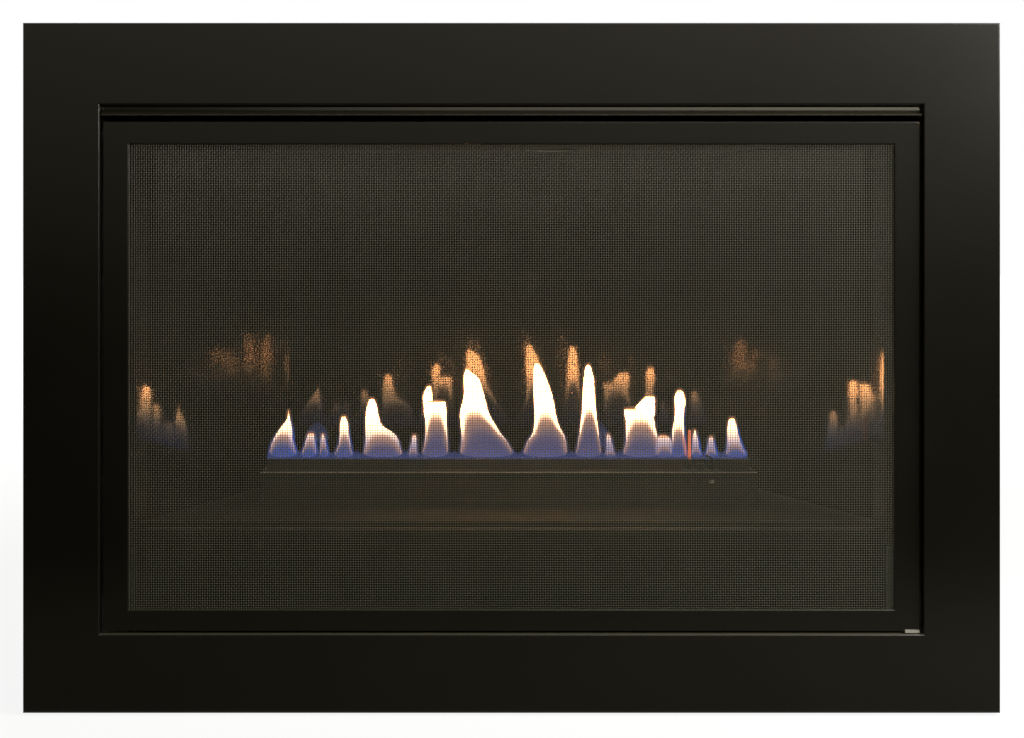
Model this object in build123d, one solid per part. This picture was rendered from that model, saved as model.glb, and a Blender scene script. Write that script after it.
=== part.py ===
from build123d import *
from math import hypot, radians, sin
import os

# A gas fireplace insert: flat surround, lift-off woven-wire screen, glazed firebox with a ribbon burner,
# and a lower compartment with the gas valve, controls and blower behind a fold-down access panel.
# Millimetres. +X right, +Z up, the front faces -Y. Depths are counted back from the surround's face.

# ---- overall ----
overall_depth = 382.5          # surround's face to the casing's back
leveller_reach = 28.0          # base pan's underside above the hearth
sheet = 1.2                    # casing steel
heavy_sheet = 1.5              # surround, screen and firebox steel
fold_radius = 1.5              # inside radius of a fold
contact_gap = 0.3              # air between pieces that don't touch
running_gap = 0.06             # radial play of a shaft in its bore
over = 1.0                     # how far a cut runs past the face it opens
fillet_share = 0.9             # largest rounding of an edge, as a share of its wall

# ---- surround ----
surround_width = 1016.0
surround_height = 717.5
surround_floor_gap = 3.0       # lower edge above the hearth
surround_return = 25.0         # depth of the fold round the outside
surround_lip = 12.0            # depth of the fold round the opening
surround_edge_radius = 1.4     # outside radius of its folds
surround_stile = 79.5          # width of the face beside the opening
surround_head = 85.0           # height of the face above the opening
surround_sill = 81.5           # height of the face below the opening
stud_radius = 2.5
stud_length = 12.0
stud_overlap = 20.0            # studs beyond the casing's side
stud_end = 68.0                # studs in from the bracket's ends
nut_flats = 8.0
nut_height = 4.0
bracket_leg = 32.0
bracket_reach = 60.0           # depth of the bracket's rear edge
bracket_length = 490.0

# ---- screen ----
screen_side_gap = 2.5
screen_bottom_gap = 2.5
screen_top_gap = 17.3          # slot above the screen
screen_setback = 5.0
screen_rim = 14.0              # depth of its folded edge
screen_edge_radius = 1.0
screen_stile = 26.5
screen_top_rail = 23.4
screen_bottom_rail = 22.0
cloth_thickness = 1.0
cloth_margin = 9.0             # cloth held behind the frame
cloth_columns = 18
cloth_rows = 11
cloth_wire = 2.5
retainer_width = 12.0
gusset_height = 20.0
magnet_radius = 8.0
magnet_thickness = 4.8
magnet_edge = 0.6
magnet_air = 0.2               # between magnet and gusset
tab_width = 15.0
tab_height = 3.0
tab_inset = 8.5                # its middle, in from the frame's corner

# ---- casing ----
casing_overlap = 9.5           # casing hidden behind the surround, each side
casing_headroom = 7.5          # casing's top above the opening
casing_flange = 34.0
flange_top_cut = 24.0          # flange stops below the opening's top for the air deflector
back_flange = 12.0
pan_flange = 20.0
pan_front_gap = 6.0            # pan's front flange below the opening
deflector_reach = 1.5          # depth of its lower edge
deflector_slope_top = 15.0     # depth where the slope begins
deflector_fall = 9.1
deflector_leg = 17.0           # level part behind the slope
deflector_drop = 7.6
deflector_flange = 26.0
deflector_side_gap = 1.0       # inside the opening

# ---- levelling bolts and anchor holes ----
leveller_radius = 4.0
leveller_head_flats = 13.0
leveller_head = 5.3
leveller_thread = 63.0         # top of the shank above the hearth
leveller_inset_x = 23.0
leveller_front = 60.0
leveller_back_inset = 27.5
boss_radius = 7.0
boss_height = 8.0
anchor_radius = 4.0
anchor_spacing_x = 720.0
anchor_spacing_y = 240.0

# ---- firebox ----
compartment_height = 158.0     # base pan's underside to the firebox floor
firebox_headroom = 37.0        # firebox ceiling below the casing's top
firebox_front_depth = 72.0
firebox_back_gap = 41.5        # room behind the firebox for the air duct
firebox_back_width = 562.0
firebox_side_inset = 24.8      # firebox's front corners inside the casing
front_plate_rim = 20.0
front_plate_drop = 26.0
plate_margin = 2.0             # its opening beyond the glass frame's
liner = 3.0
glass_sight = 21.5             # glass frame's inner edge inside the opening
glass_thickness = 4.0
pane_play = 1.0                # round the pane, inside its frame
gasket_thickness = 6.0
gasket_width = 10.0
glass_frame_face = 17.0
glass_frame_top = 11.0
glass_frame_sill = 4.0         # inner edge above the firebox floor
clamp_width = 20.0
clamp_spacing = 400.0
clamp_grip = 6.0
clamp_foot = 8.0

# ---- burner ----
burner_depth = 195.0           # its middle line
burner_length = 568.0
burner_width = 16.0
burner_height = 50.5
burner_wall = 1.2
burner_play = 1.0              # slot round the burner
port_margin = 16.0             # first port from the burner's end
port_count = 56
port_width = 1.8
port_length = 9.0
tray_front_reach = 30.0
tray_back_reach = 45.0
tray_height = 39.0
tray_margin = 4.5
tray_lip = 8.7
tray_foot = 12.0
mixing_radius = 9.0
mixing_wall = 1.0
mixing_bend = 20.0
mixing_height = 17.0
mixing_straight = 140.0
mixing_start = -60.0           # where the bend begins
cage_radius = 12.0
cage_length = 36.0
cage_window = 16.0
cage_slot = 13.0               # height of the windows
shutter_length = 24.0
shutter_wall = 1.2
lever_reach = 6.0
lever_width = 4.0
orifice_nose = 5.0
orifice_gap = 0.2
orifice_flats = 14.0
orifice_body = 16.0
orifice_stand = 4.0            # its body in front of the cage
orifice_reach = 3.0            # nose inside the cage
jet_radius = 0.8
bulkhead_nut = 4.0
bulkhead_reach = 16.0          # stem below the firebox floor

# ---- pilot ----
pilot_x = 224.0
pilot_radius = 5.0
pilot_hood = 8.0               # its top above the tray
pilot_tail = 14.0              # its end below the tray
pilot_mouth = 3.0              # half the width and height of its outlet
pilot_bore = 1.0
pilot_crown = 2.0              # metal over the outlet
pilot_plate_length = 42.0
pilot_plate_depth = 15.0
pilot_inset = 3.0              # its plate behind the tray's lip
pilot_seat = 2.0               # plate resting on the tray round its window
sensor_radius = 1.6
sensor_height = 48.0           # its tip above the tray
ceramic_radius = 3.0
ceramic_height = 8.0           # above the tray
pilot_pitch = 13.0
electrode_radius = 1.1
electrode_rise = 7.0
electrode_lean = 7.0
electrode_bend = 3.0

# ---- lower compartment ----
support_half_gap = 205.0
support_flange = 30.0
support_back_gap = 7.5         # its end in front of the firebox's back
valve_length = 90.0
valve_depth = 50.0
valve_height = 60.0
valve_front = 82.0
valve_centre_height = 90.0     # above the base pan's underside
valve_edge = 4.0
boss_stand = 6.0               # knob bosses in front of the valve's body
boss_wall = 4.0
tower_radius = 11.0
tower_height = 12.0
tower_chamfer = 2.0
port_stand = 5.0
port_radius = 8.0
knob_offset = 24.0
knob_radius = 17.0
small_knob_radius = 13.0
knob_depth = 14.0
knob_front = 56.0
knob_skirt = 5.5
knob_step = 4.0
knob_dome = 3.0
knob_grip = 5.0
knob_chamfer = 1.4
hub_radius = 6.0
hub_seat = 5.0
inlet_radius = 7.94
inlet_wall = 2.2
inlet_step = 1.2               # pipe's outside inside the thread's
inlet_nut = 22.0
inlet_nut_length = 14.0
inlet_reach = 17.0             # beyond the casing's side
inlet_hole = 14.0
feed_radius = 4.75
feed_wall = 0.9
feed_bend = 20.0
feed_drop = 10.0               # port below the valve's middle
panel_depth = 38.0             # access panel's face
panel_side_gap = 3.0
panel_return = 12.0
panel_side_return = 10.0
panel_sill = 62.0              # its lower edge above the base pan's underside
panel_notch = 12.0
pivot_rise = 6.0
pivot_back = 6.0
pivot_radius = 2.5
pivot_wall = 2.0
pin_head = 2.0                 # thickness
pin_head_step = 1.5
lug_half = 5.0
lug_gap = 1.2                  # between panel and lug
control_depth = 66.0
control_width = 150.0
control_height = 90.0
control_bottom = 42.0          # above the base pan's underside
control_rise = 49.5            # controls above the plate's lower edge
control_first = 36.0           # first control from the plate's fold
control_pitch = 42.0
control_return = 50.0          # depth of the plate's fold
igniter_radius = 9.0
igniter_length = 40.0
button_radius = 6.0
button_stand = 8.0
button_travel = 7.0
button_shank = 16.0            # its end behind the plate's front
button_edge = 1.0
terminal_post = 2.0
igniter_nut = 3.0
bezel_radius = 12.0
bezel = 2.0
rocker_width = 9.0
rocker_height = 22.0
rocker_tilt = 10.0
rocker_heel = 6.0              # width of its flat back
rocker_depth = 9.0
rocker_cheek = 4.0             # depth of its ends
rocker_play = 1.2              # above and below it in its housing
pivot_behind = 3.0             # its axis behind the plate's front
switch_body = 24.0
switch_wall = 1.7
switch_lip = 1.5               # bezel beyond the body
terminal = 0.8
terminal_width = 6.0
terminal_reach = 8.0
terminal_spacing = 12.0
dial_radius = 13.0
dial_depth = 11.0
bush_stand = 3.5               # bush in front of the plate
control_body = 20.0
control_body_depth = 14.0
control_edge = 2.0
bush_radius = 4.5
bush_nut = 11.0
bush_nut_height = 2.0
dial_seat = 5.0                # its shaft's end behind the plate
gland_radius = 10.0
gland_bore = 5.0
gland_lip = 1.5                # snap lip inside the casing
gland_collar = 3.0
gland_tail = 4.0
gland_height = 90.0
gland_back_inset = 80.0

# ---- blower ----
wheel_radius = 28.0
wheel_length = 258.0
blade_count = 24
blade_sheet = 0.8
blade_chord = 8.5
blade_bow = 1.4
blade_angle = 62.0
blade_inset = 4.4              # blades' middle inside the wheel's rim
shaft_radius = 3.0
shaft_stub = 4.0               # shaft beyond its last bearing
wheel_back_inset = 51.5        # axis in front of the casing's back
wheel_rise = 54.0              # axis above the base pan's underside
scroll_gap = 6.0
housing_end_gap = 10.0
housing_mouth = 15.0           # its front edge ahead of the axis
housing_corner = 8.0
housing_toe = 16.0
outlet_rise = 16.0
outlet_width = 28.0
tongue_gap = 4.0               # between wheel and tongue
tongue_radius = 4.0
bearing_length = 4.0
bearing_wall = 4.0
motor_gap = 1.0
motor_stack = 22.0
motor_width = 50.0
motor_height = 58.0
motor_drop = 25.0              # its lower edge below the axis
motor_edge = 3.0
coil_rise = 15.0
coil_height = 16.0
coil_half = 13.0
coil_stand = 5.0               # coil and bearing beyond the frame
motor_bearing = 9.0
motor_screw = 2.5
motor_screw_inset = 5.0

# ---- flue ----
collar_radius = 38.1
collar_wall = 1.0
collar_height = 39.0           # above the casing's top
collar_spacing = 120.0
collar_back_inset = 82.5       # collars' axis in front of the casing's back
collar_play = 0.2
bead = 1.6
bead_height = 6.0
flue_plate_margin = 17.0
duct_half_width = 50.0
duct_sheet = 1.0
duct_margin = 2.0              # round the collar
duct_bottom = 159.0            # above the base pan's underside
air_slot_half = 40.0           # slot from the duct into the firebox, behind the burner tray
air_slot_height = 16.0
air_slot_rise = 3.0            # above the duct's lower end

# ---- places worked out from the sizes ----
front_y = -overall_depth / 2
surround_bottom = surround_floor_gap
casing_setback = screen_setback + screen_rim + magnet_air + magnet_thickness
opening_bottom = surround_bottom + surround_sill
opening_top = surround_bottom + surround_height - surround_head
opening_half = surround_width / 2 - surround_stile
opening_middle = (opening_bottom + opening_top) / 2
casing_half = opening_half + casing_overlap
casing_inner = casing_half - sheet
casing_top = opening_top + casing_headroom
casing_ceiling = casing_top - sheet
casing_back_face = overall_depth - sheet
pan_top = leveller_reach + sheet
hearth = leveller_reach + compartment_height
collar_depth = overall_depth - collar_back_inset
firebox_ceiling = casing_top - firebox_headroom
firebox_roof = firebox_ceiling + heavy_sheet
plate_back = firebox_front_depth + heavy_sheet
firebox_half = casing_inner - firebox_side_inset
firebox_back_half = firebox_back_width / 2
firebox_back = overall_depth - firebox_back_gap
firebox_depth = firebox_back - plate_back
side_run = firebox_half - firebox_back_half
side_length = hypot(side_run, firebox_depth)
glass_half = opening_half - glass_sight
glass_bottom = hearth + glass_frame_sill
glass_top = firebox_ceiling - glass_frame_sill
screen_half = opening_half - screen_side_gap
screen_bottom = opening_bottom + screen_bottom_gap
screen_top = opening_top - screen_top_gap
window_half = screen_half - screen_stile
window_bottom = screen_bottom + screen_bottom_rail
window_top = screen_top - screen_top_rail
screen_rim_depth = screen_setback + screen_rim
valve_z = leveller_reach + valve_centre_height
valve_back = valve_front + valve_depth
support_web = support_half_gap + support_flange
mixing_z = hearth + mixing_height
burner_back = burner_depth + burner_width / 2
mixing_depth = burner_back + mixing_bend
mixing_inlet = mixing_start - mixing_straight
cage_end = mixing_inlet - cage_length
orifice_x = cage_end - orifice_body / 2 - orifice_stand
cage_middle = (cage_end + mixing_inlet) / 2


def block(x_span, depth_span, z_span):
    """A rectangular piece between pairs of limits; depths are counted back from the front."""
    spans = (x_span, depth_span, z_span)
    sizes = [high - low for low, high in spans]
    middle = [(low + high) / 2 for low, high in spans]
    return Pos(middle[0], front_y + middle[1], middle[2]) * Box(*sizes)


def around(middle, half):
    """The pair of limits an equal distance either side of a middle."""
    return (middle - half, middle + half)


def area(first_span, second_span):
    """A rectangle drawn between two pairs of limits."""
    middle = Pos((first_span[0] + first_span[1]) / 2, (second_span[0] + second_span[1]) / 2)
    return middle * Rectangle(first_span[1] - first_span[0], second_span[1] - second_span[0])


def both(limit):
    """The pair of limits that lie the same distance left and right of the middle."""
    return (-limit, limit)


def outward(side, inner, outer):
    """The pair of limits, in order, of a piece between two distances from the middle on one side."""
    return tuple(sorted((side * inner, side * outer)))


def ring_in(outline, width):
    """The border of an outline, a width wide, inside it."""
    return outline - offset(outline, -width, kind=Kind.INTERSECTION)


def ring_out(outline, width):
    """The border of an outline, a width wide, outside it."""
    return offset(outline, width, kind=Kind.INTERSECTION) - outline


def upright(drawing, depth, thickness):
    """A drawing in width and height, stood up at a depth and thickened backwards."""
    plane = Plane((0, front_y + depth, 0), x_dir=(1, 0, 0), z_dir=(0, -1, 0))
    return extrude(plane * drawing, amount=-thickness)


def across(drawing, start, end):
    """A drawing in depth and height, run across the object from one side towards the other."""
    plane = Plane((start, front_y, 0), x_dir=(0, 1, 0), z_dir=(1, 0, 0))
    return extrude(plane * drawing, amount=end - start)


def upward(drawing, bottom, top):
    """A drawing in width and depth, raised between two heights."""
    return extrude(Pos(0, front_y, bottom) * drawing, amount=top - bottom)


def folded(corners, thickness, side=Side.LEFT, radius=fold_radius):
    """The section of a folded sheet: a line through its corners, rounded and thickened to one side."""
    line = FilletPolyline(*corners, radius=radius)
    return make_face(offset(line, amount=thickness, side=side).edges())


def rod_x(radius, start, end, depth, height):
    """A round bar along X."""
    return Pos((start + end) / 2, front_y + depth, height) * Rot(0, 90, 0) * Cylinder(radius, end - start)


def rod_y(radius, start, end, x, height):
    """A round bar along Y, between two depths."""
    return Pos(x, front_y + (start + end) / 2, height) * Rot(90, 0, 0) * Cylinder(radius, end - start)


def rod_z(radius, bottom, top, x, depth):
    """A round bar along Z."""
    return Pos(x, front_y + depth, (bottom + top) / 2) * Cylinder(radius, top - bottom)


def hexagon(flats):
    """A hexagon of a given width across its flats."""
    return RegularPolygon(flats / 2, 6, major_radius=False)


def mirrored(piece):
    """The same piece on the other side of the middle."""
    return mirror(piece, Plane.YZ)


def pipe(path, radius, wall):
    """A tube along a path."""
    start = Plane(origin=path @ 0, z_dir=path % 0)
    return sweep(start * Circle(radius), path) - sweep(start * Circle(radius - wall), path)


# ---- surround ----
def surround_panel():
    """Face with its opening, folded back round the outside and round the opening, with four studs behind."""
    outline = area(both(surround_width / 2), (surround_bottom, surround_bottom + surround_height))
    hole = area(both(opening_half), (opening_bottom, opening_top))
    panel = upright(outline - hole, 0, heavy_sheet)
    panel += upright(ring_in(outline, heavy_sheet), 0, surround_return)
    panel += upright(ring_out(hole, heavy_sheet), 0, surround_lip)
    panel = fillet(panel.edges().group_by(Axis.Y)[0], surround_edge_radius)
    for side in (-1, 1):
        for height in (opening_bottom, opening_top):
            slit = Rectangle(heavy_sheet, contact_gap)
            corner = Pos(side * (opening_half + heavy_sheet / 2), height)
            panel -= upright(corner * slit, heavy_sheet, surround_lip)
        for height in stud_heights:
            panel += rod_y(stud_radius, heavy_sheet, heavy_sheet + stud_length, side * stud_x, height)
    return panel


stud_x = casing_half + stud_overlap
bracket_back = 2 * heavy_sheet
bracket_bottom = opening_middle - bracket_length / 2
stud_heights = around(opening_middle, bracket_length / 2 - stud_end)


def surround_bracket():
    """Angle on the casing's side that the surround's studs pass through."""
    back = bracket_back
    inner = casing_half + heavy_sheet
    corners = [(casing_half + bracket_leg, back), (inner, back), (inner, bracket_reach)]
    angle = upward(folded(corners, heavy_sheet), bracket_bottom, bracket_bottom + bracket_length)
    for height in stud_heights:
        angle -= rod_y(stud_radius + contact_gap, heavy_sheet, back + over, stud_x, height)
    return angle


def stud_nuts():
    """Hexagon nuts that hold the surround to its brackets."""
    section = hexagon(nut_flats) - Circle(stud_radius)
    nuts = []
    for side in (-1, 1):
        for height in stud_heights:
            nuts.append(upright(Pos(side * stud_x, height) * section, bracket_back, nut_height))
    return Compound(children=nuts)


# ---- screen ----
def screen_frame():
    """Flat face with a window, folded back into a rim, with a steel gusset across each rear corner."""
    outline = area(both(screen_half), (screen_bottom, screen_top))
    window = area(both(window_half), (window_bottom, window_top))
    frame = upright(outline - window, screen_setback, heavy_sheet)
    frame += upright(ring_in(outline, heavy_sheet), screen_setback, screen_rim)
    frame = fillet(frame.edges().group_by(Axis.Y)[0], screen_edge_radius)
    inner = screen_half - heavy_sheet
    gusset_depth = (screen_rim_depth - heavy_sheet, screen_rim_depth)
    for side in (-1, 1):
        for middle in gusset_heights:
            gusset_x = outward(side, inner - gusset_width, inner)
            frame += block(gusset_x, gusset_depth, around(middle, gusset_height / 2))
    return frame


gusset_inset = heavy_sheet + gusset_height / 2
gusset_heights = (screen_bottom + gusset_inset, screen_top - gusset_inset)
gusset_width = screen_stile - 2 * heavy_sheet


def screen_cloth():
    """The woven wire as a flat holed sheet: coarse openings stand for the fine weave."""
    width = 2 * (window_half + cloth_margin)
    height = window_top - window_bottom + 2 * cloth_margin
    column = width / cloth_columns
    row = height / cloth_rows
    hole = Rectangle(column - cloth_wire, row - cloth_wire)
    cloth = Rectangle(width, height) - GridLocations(column, row, cloth_columns, cloth_rows) * hole
    middle = Pos(0, (window_bottom + window_top) / 2)
    return upright(middle * cloth, screen_setback + heavy_sheet, cloth_thickness)


def screen_retainers():
    """Four strips that press the cloth's edges against the frame."""
    depth = screen_setback + heavy_sheet + cloth_thickness
    outer = window_half + retainer_width
    strips = []
    for side in (-1, 1):
        span = outward(side, window_half, outer)
        strips.append(upright(area(span, (window_bottom, window_top)), depth, heavy_sheet))
    for low in (window_bottom - retainer_width, window_top):
        strips.append(upright(area(both(outer), (low, low + retainer_width)), depth, heavy_sheet))
    return Compound(children=strips)


def screen_pull_tab():
    """Small bare tab under the frame's lower right corner, to pull the screen off by."""
    width = around(screen_half - tab_inset, tab_width / 2)
    front = screen_setback - heavy_sheet
    bottom = screen_bottom - heavy_sheet
    tab = block(width, (front, screen_setback), (bottom, bottom + tab_height))
    return tab + block(width, (front, screen_rim_depth), (bottom, screen_bottom))


def screen_magnets():
    """Pot magnets on the casing's flanges, one behind each corner of the screen."""
    front = casing_setback - magnet_thickness
    magnets = []
    for side in (-1, 1):
        for height in gusset_heights:
            x = side * (casing_half - casing_flange + magnet_radius)
            pot = rod_y(magnet_radius, front, casing_setback, x, height)
            magnets.append(fillet(pot.edges().group_by(Axis.Y)[0], magnet_edge))
    return Compound(children=magnets)


# ---- casing ----
def base_pan():
    """Folded pan with bolt bosses, anchor holes and the two lugs that carry the access panel's hinge."""
    floor = area(both(casing_inner), (casing_setback + sheet, casing_back_face))
    floor = fillet(floor.vertices(), fold_radius)
    inside = offset(floor, -sheet, kind=Kind.ARC)
    pan = upward(floor, leveller_reach, pan_top)
    pan += upward(floor - inside, leveller_reach, pan_top + pan_flange)
    front_strip = area(both(casing_inner), (casing_setback, casing_setback + 2 * sheet))
    pan += upward((floor - inside) & front_strip, leveller_reach, opening_bottom - pan_front_gap)
    boss_top = pan_top + boss_height
    for x, depth in leveller_places:
        pan += rod_z(boss_radius, leveller_reach, boss_top, x, depth)
        pan -= rod_z(leveller_radius + running_gap, leveller_reach - over, boss_top + over, x, depth)
    for x in both(anchor_spacing_x / 2):
        for depth in around(overall_depth / 2, anchor_spacing_y / 2):
            pan -= rod_z(anchor_radius, leveller_reach - over, pan_top + over, x, depth)
    return pan + hinge_lug(1) + hinge_lug(-1)


def hinge_lug(side):
    """Upright ear with a bore for the panel's pin, on a strut that stands on the pan."""
    pivot = Pos(pivot_depth, pivot_height)
    ear = area(around(pivot_depth, lug_half), (pan_top, pivot_height)) + pivot * Circle(lug_half)
    ear -= pivot * Circle(pivot_radius + running_gap)
    return across(ear, *outward(side, lug_inner, lug_inner + heavy_sheet))


leveller_x = casing_half - leveller_inset_x
leveller_depths = (leveller_front, overall_depth - leveller_back_inset)
leveller_places = [(side * leveller_x, depth) for side in (-1, 1) for depth in leveller_depths]
panel_half = glass_half - 2 * panel_side_gap
pivot_depth = panel_depth + pivot_back
panel_bottom = leveller_reach + panel_sill
pivot_height = panel_bottom + pivot_rise
lug_inner = panel_half + lug_gap


def levelling_bolt(x, depth):
    """Bolt standing on its hexagon head, threaded up through the pan's boss."""
    head = Pos(x, front_y + depth) * extrude(hexagon(leveller_head_flats), leveller_head)
    return head + rod_z(leveller_radius, leveller_head, leveller_thread, x, depth)


def casing_side():
    """Right side of the casing, folded in at the front as a flange that stops below the air deflector."""
    corners = [(casing_half - casing_flange, casing_setback + sheet), (casing_inner, casing_setback + sheet)]
    corners.append((casing_inner, casing_back_face))
    side = upward(folded(corners, sheet, Side.RIGHT), leveller_reach, casing_ceiling)
    flange_x = (casing_half - casing_flange - over, casing_inner)
    flange_depth = (casing_setback - over, casing_setback + 2 * sheet)
    return side - block(flange_x, flange_depth, (opening_top - flange_top_cut, casing_top))


def left_casing_side():
    """Left side, with the hole for the gas pipe."""
    hole = rod_x(inlet_hole, -casing_half - over, -casing_inner + over, inlet_depth, valve_z)
    return mirrored(casing_side()) - hole


def right_casing_side():
    """Right side, with the hole for the power gland."""
    return casing_side() - rod_x(gland_radius, casing_inner - over, casing_half + over, gland_depth, gland_z)


def casing_back():
    """Back sheet with a fold round it inside the sides."""
    span = (leveller_reach, casing_ceiling)
    back = upright(area(both(casing_half), span), casing_back_face, sheet)
    inner = area(both(casing_inner), (pan_top + pan_flange + contact_gap, casing_ceiling))
    return back + upright(ring_in(inner, sheet), casing_back_face - back_flange, back_flange)


def casing_top_sheet():
    """Top sheet with the two flue holes."""
    top = upward(area(both(casing_half), (casing_setback, overall_depth)), casing_ceiling, casing_top)
    for x in both(collar_spacing / 2):
        top -= rod_z(collar_radius + collar_play, casing_ceiling - over, casing_top + over, x, collar_depth)
    return top


def air_deflector():
    """Folded strip in the slot above the screen that turns the warm air forwards and down."""
    web_depth = deflector_slope_top + deflector_leg
    slope_top = casing_ceiling - deflector_drop
    half = opening_half - deflector_side_gap
    corners = [
        (web_depth + deflector_flange, casing_ceiling),
        (web_depth, casing_ceiling),
        (web_depth, slope_top),
        (deflector_slope_top, slope_top),
        (deflector_reach, slope_top - deflector_fall),
    ]
    return across(folded(corners, sheet, Side.LEFT, fold_radius + sheet), -half, half)


def power_gland():
    """Moulded bushing in the casing's right side where the blower's lead enters."""
    start = casing_inner - gland_tail
    end = casing_half + gland_collar
    profile = [
        (gland_bore, start), (gland_radius + gland_lip, start), (gland_radius + gland_lip, casing_inner),
        (gland_radius - contact_gap, casing_inner), (gland_radius - contact_gap, casing_half),
        (gland_radius + gland_collar, casing_half), (gland_radius + gland_lip, end), (gland_bore, end),
    ]
    turned = revolve(Plane.XZ * make_face(Polyline(*profile, close=True)), Axis.Z)
    return Pos(0, front_y + gland_depth, gland_z) * Rot(0, 90, 0) * turned


gland_depth = overall_depth - gland_back_inset
gland_z = leveller_reach + gland_height
inlet_depth = valve_front + valve_depth / 2


# ---- firebox ----
def firebox_front():
    """Plate with the window opening, folded forwards along the casing's sides."""
    top = glass_outer_top + front_plate_rim - glass_frame_top
    outline = area(both(casing_inner), (hearth - front_plate_drop, top))
    hole = area(both(glass_half + plate_margin), (glass_bottom - plate_margin, glass_top))
    plate = upright(outline - hole, firebox_front_depth, heavy_sheet)
    for side in (-1, 1):
        flange_x = outward(side, casing_inner - heavy_sheet, casing_inner)
        flange_depth = (firebox_front_depth - back_flange, plate_back)
        plate += block(flange_x, flange_depth, (hearth - front_plate_drop, top))
    return plate


glass_outer_top = glass_top + glass_frame_top
glass_outer_bottom = glass_bottom - glass_frame_face
glass_outer_half = glass_half + glass_frame_face
glass_back = firebox_front_depth - gasket_thickness
glass_front = glass_back - glass_thickness


def firebox_wrap():
    """Sides and back of the firebox, folded from one sheet, narrowing to the back."""
    corners = [
        (-firebox_half, plate_back),
        (-firebox_back_half, firebox_back),
        (firebox_back_half, firebox_back),
        (firebox_half, plate_back),
    ]
    wrap = upward(folded(corners, heavy_sheet, Side.LEFT), hearth - heavy_sheet, firebox_ceiling)
    wrap &= block(both(casing_inner), (plate_back, overall_depth), (0, casing_top))
    return wrap - air_slot(firebox_back, heavy_sheet)


def air_slot(depth, thickness):
    """Cutter for the slot through which combustion air passes from the duct into the firebox."""
    low = leveller_reach + duct_bottom + air_slot_rise
    x_span = around(-collar_spacing / 2, air_slot_half)
    return block(x_span, (depth - over, depth + thickness + over), (low, low + air_slot_height))


def firebox_plan(inset):
    """The firebox's inside seen from above, drawn in by an even distance on its sides and back."""
    shift = inset * side_length / firebox_depth
    slope = side_run / firebox_depth
    back = firebox_back - inset
    back_x = firebox_back_half + slope * inset - shift
    front_x = firebox_half - shift
    corners = [(-front_x, plate_back), (-back_x, back), (back_x, back), (front_x, plate_back)]
    return make_face(Polyline(*corners, close=True))


def firebox_floor():
    """Floor inside the wrap, with a hole for the gas jet's stem."""
    plan = firebox_plan(0)
    plan = fillet(plan.vertices().group_by(Axis.Y)[-1], fold_radius)
    floor = upward(plan, hearth - heavy_sheet, hearth)
    span = (hearth - heavy_sheet - over, hearth + over)
    return floor - rod_z(orifice_nose + contact_gap, *span, orifice_x, mixing_depth)


def firebox_top():
    """Roof over the wrap's upper edge, with the exhaust hole."""
    roof = upward(firebox_plan(-heavy_sheet), firebox_ceiling, firebox_roof)
    bore = collar_radius - collar_wall
    return roof - rod_z(bore, firebox_ceiling - over, firebox_roof + over, collar_spacing / 2, collar_depth)


def liners():
    """Glossy panels against the firebox's back and both sides."""
    height = (hearth, firebox_ceiling)
    slab = upward(firebox_plan(contact_gap) - firebox_plan(contact_gap + liner), *height)
    split = firebox_back - contact_gap - liner
    back = slab & block(both(casing_inner), (split, overall_depth), height)
    right = slab & block((0, casing_inner), (plate_back + contact_gap, split), height)
    return mirrored(right), right, back - air_slot(split, liner)


def firebox_support():
    """Channel from the base pan up to the firebox floor."""
    top = hearth - heavy_sheet
    inner = support_half_gap
    corners = [(inner, pan_top), (support_web, pan_top), (support_web, top), (inner, top)]
    section = folded(corners, heavy_sheet, Side.LEFT, fold_radius + heavy_sheet)
    return upright(section, plate_back, firebox_depth - support_back_gap)


def glass_frame():
    """Angle frame round the pane: a flat face and a rim back to the firebox's front."""
    outline = area(both(glass_outer_half), (glass_outer_bottom, glass_outer_top))
    sight = area(both(glass_half), (glass_bottom, glass_top))
    face = glass_front - heavy_sheet
    frame = upright(outline - sight, face, heavy_sheet)
    return frame + upright(ring_in(outline, heavy_sheet), face, firebox_front_depth - face)


pane_inset = heavy_sheet + pane_play
pane_outline = area(
    both(glass_outer_half - pane_inset), (glass_outer_bottom + pane_inset, glass_outer_top - pane_inset)
)


def glass_pane():
    """Ceramic pane, loose enough in its frame to expand."""
    return upright(pane_outline, glass_front, glass_thickness)


def glass_gasket():
    """Rope seal between the pane and the firebox's front, pressed nearly flat."""
    return upright(ring_in(pane_outline, gasket_width), glass_back, gasket_thickness)


def glass_clamps():
    """Stepped clips that hold the glass frame against the firebox's front, two above and two below."""
    face = glass_front - heavy_sheet
    back = firebox_front_depth
    bends = [contact_gap, sheet + contact_gap]
    clips = []
    for edge, up, side in ((glass_outer_top, 1, Side.LEFT), (glass_outer_bottom, -1, Side.RIGHT)):
        step = edge + up * contact_gap
        corners = [(face, edge - up * clamp_grip), (face, step), (back, step), (back, edge + up * clamp_foot)]
        for x in both(clamp_spacing / 2):
            clips.append(across(folded(corners, sheet, side, bends), *around(x, clamp_width / 2)))
    return Compound(children=clips)


# ---- burner ----
tray_top = hearth + tray_height
tray_half = burner_length / 2 + tray_margin
tray_front = burner_depth - tray_front_reach
tray_back = burner_depth + tray_back_reach
pilot_depth = tray_front + pilot_plate_depth / 2 + pilot_inset


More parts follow.
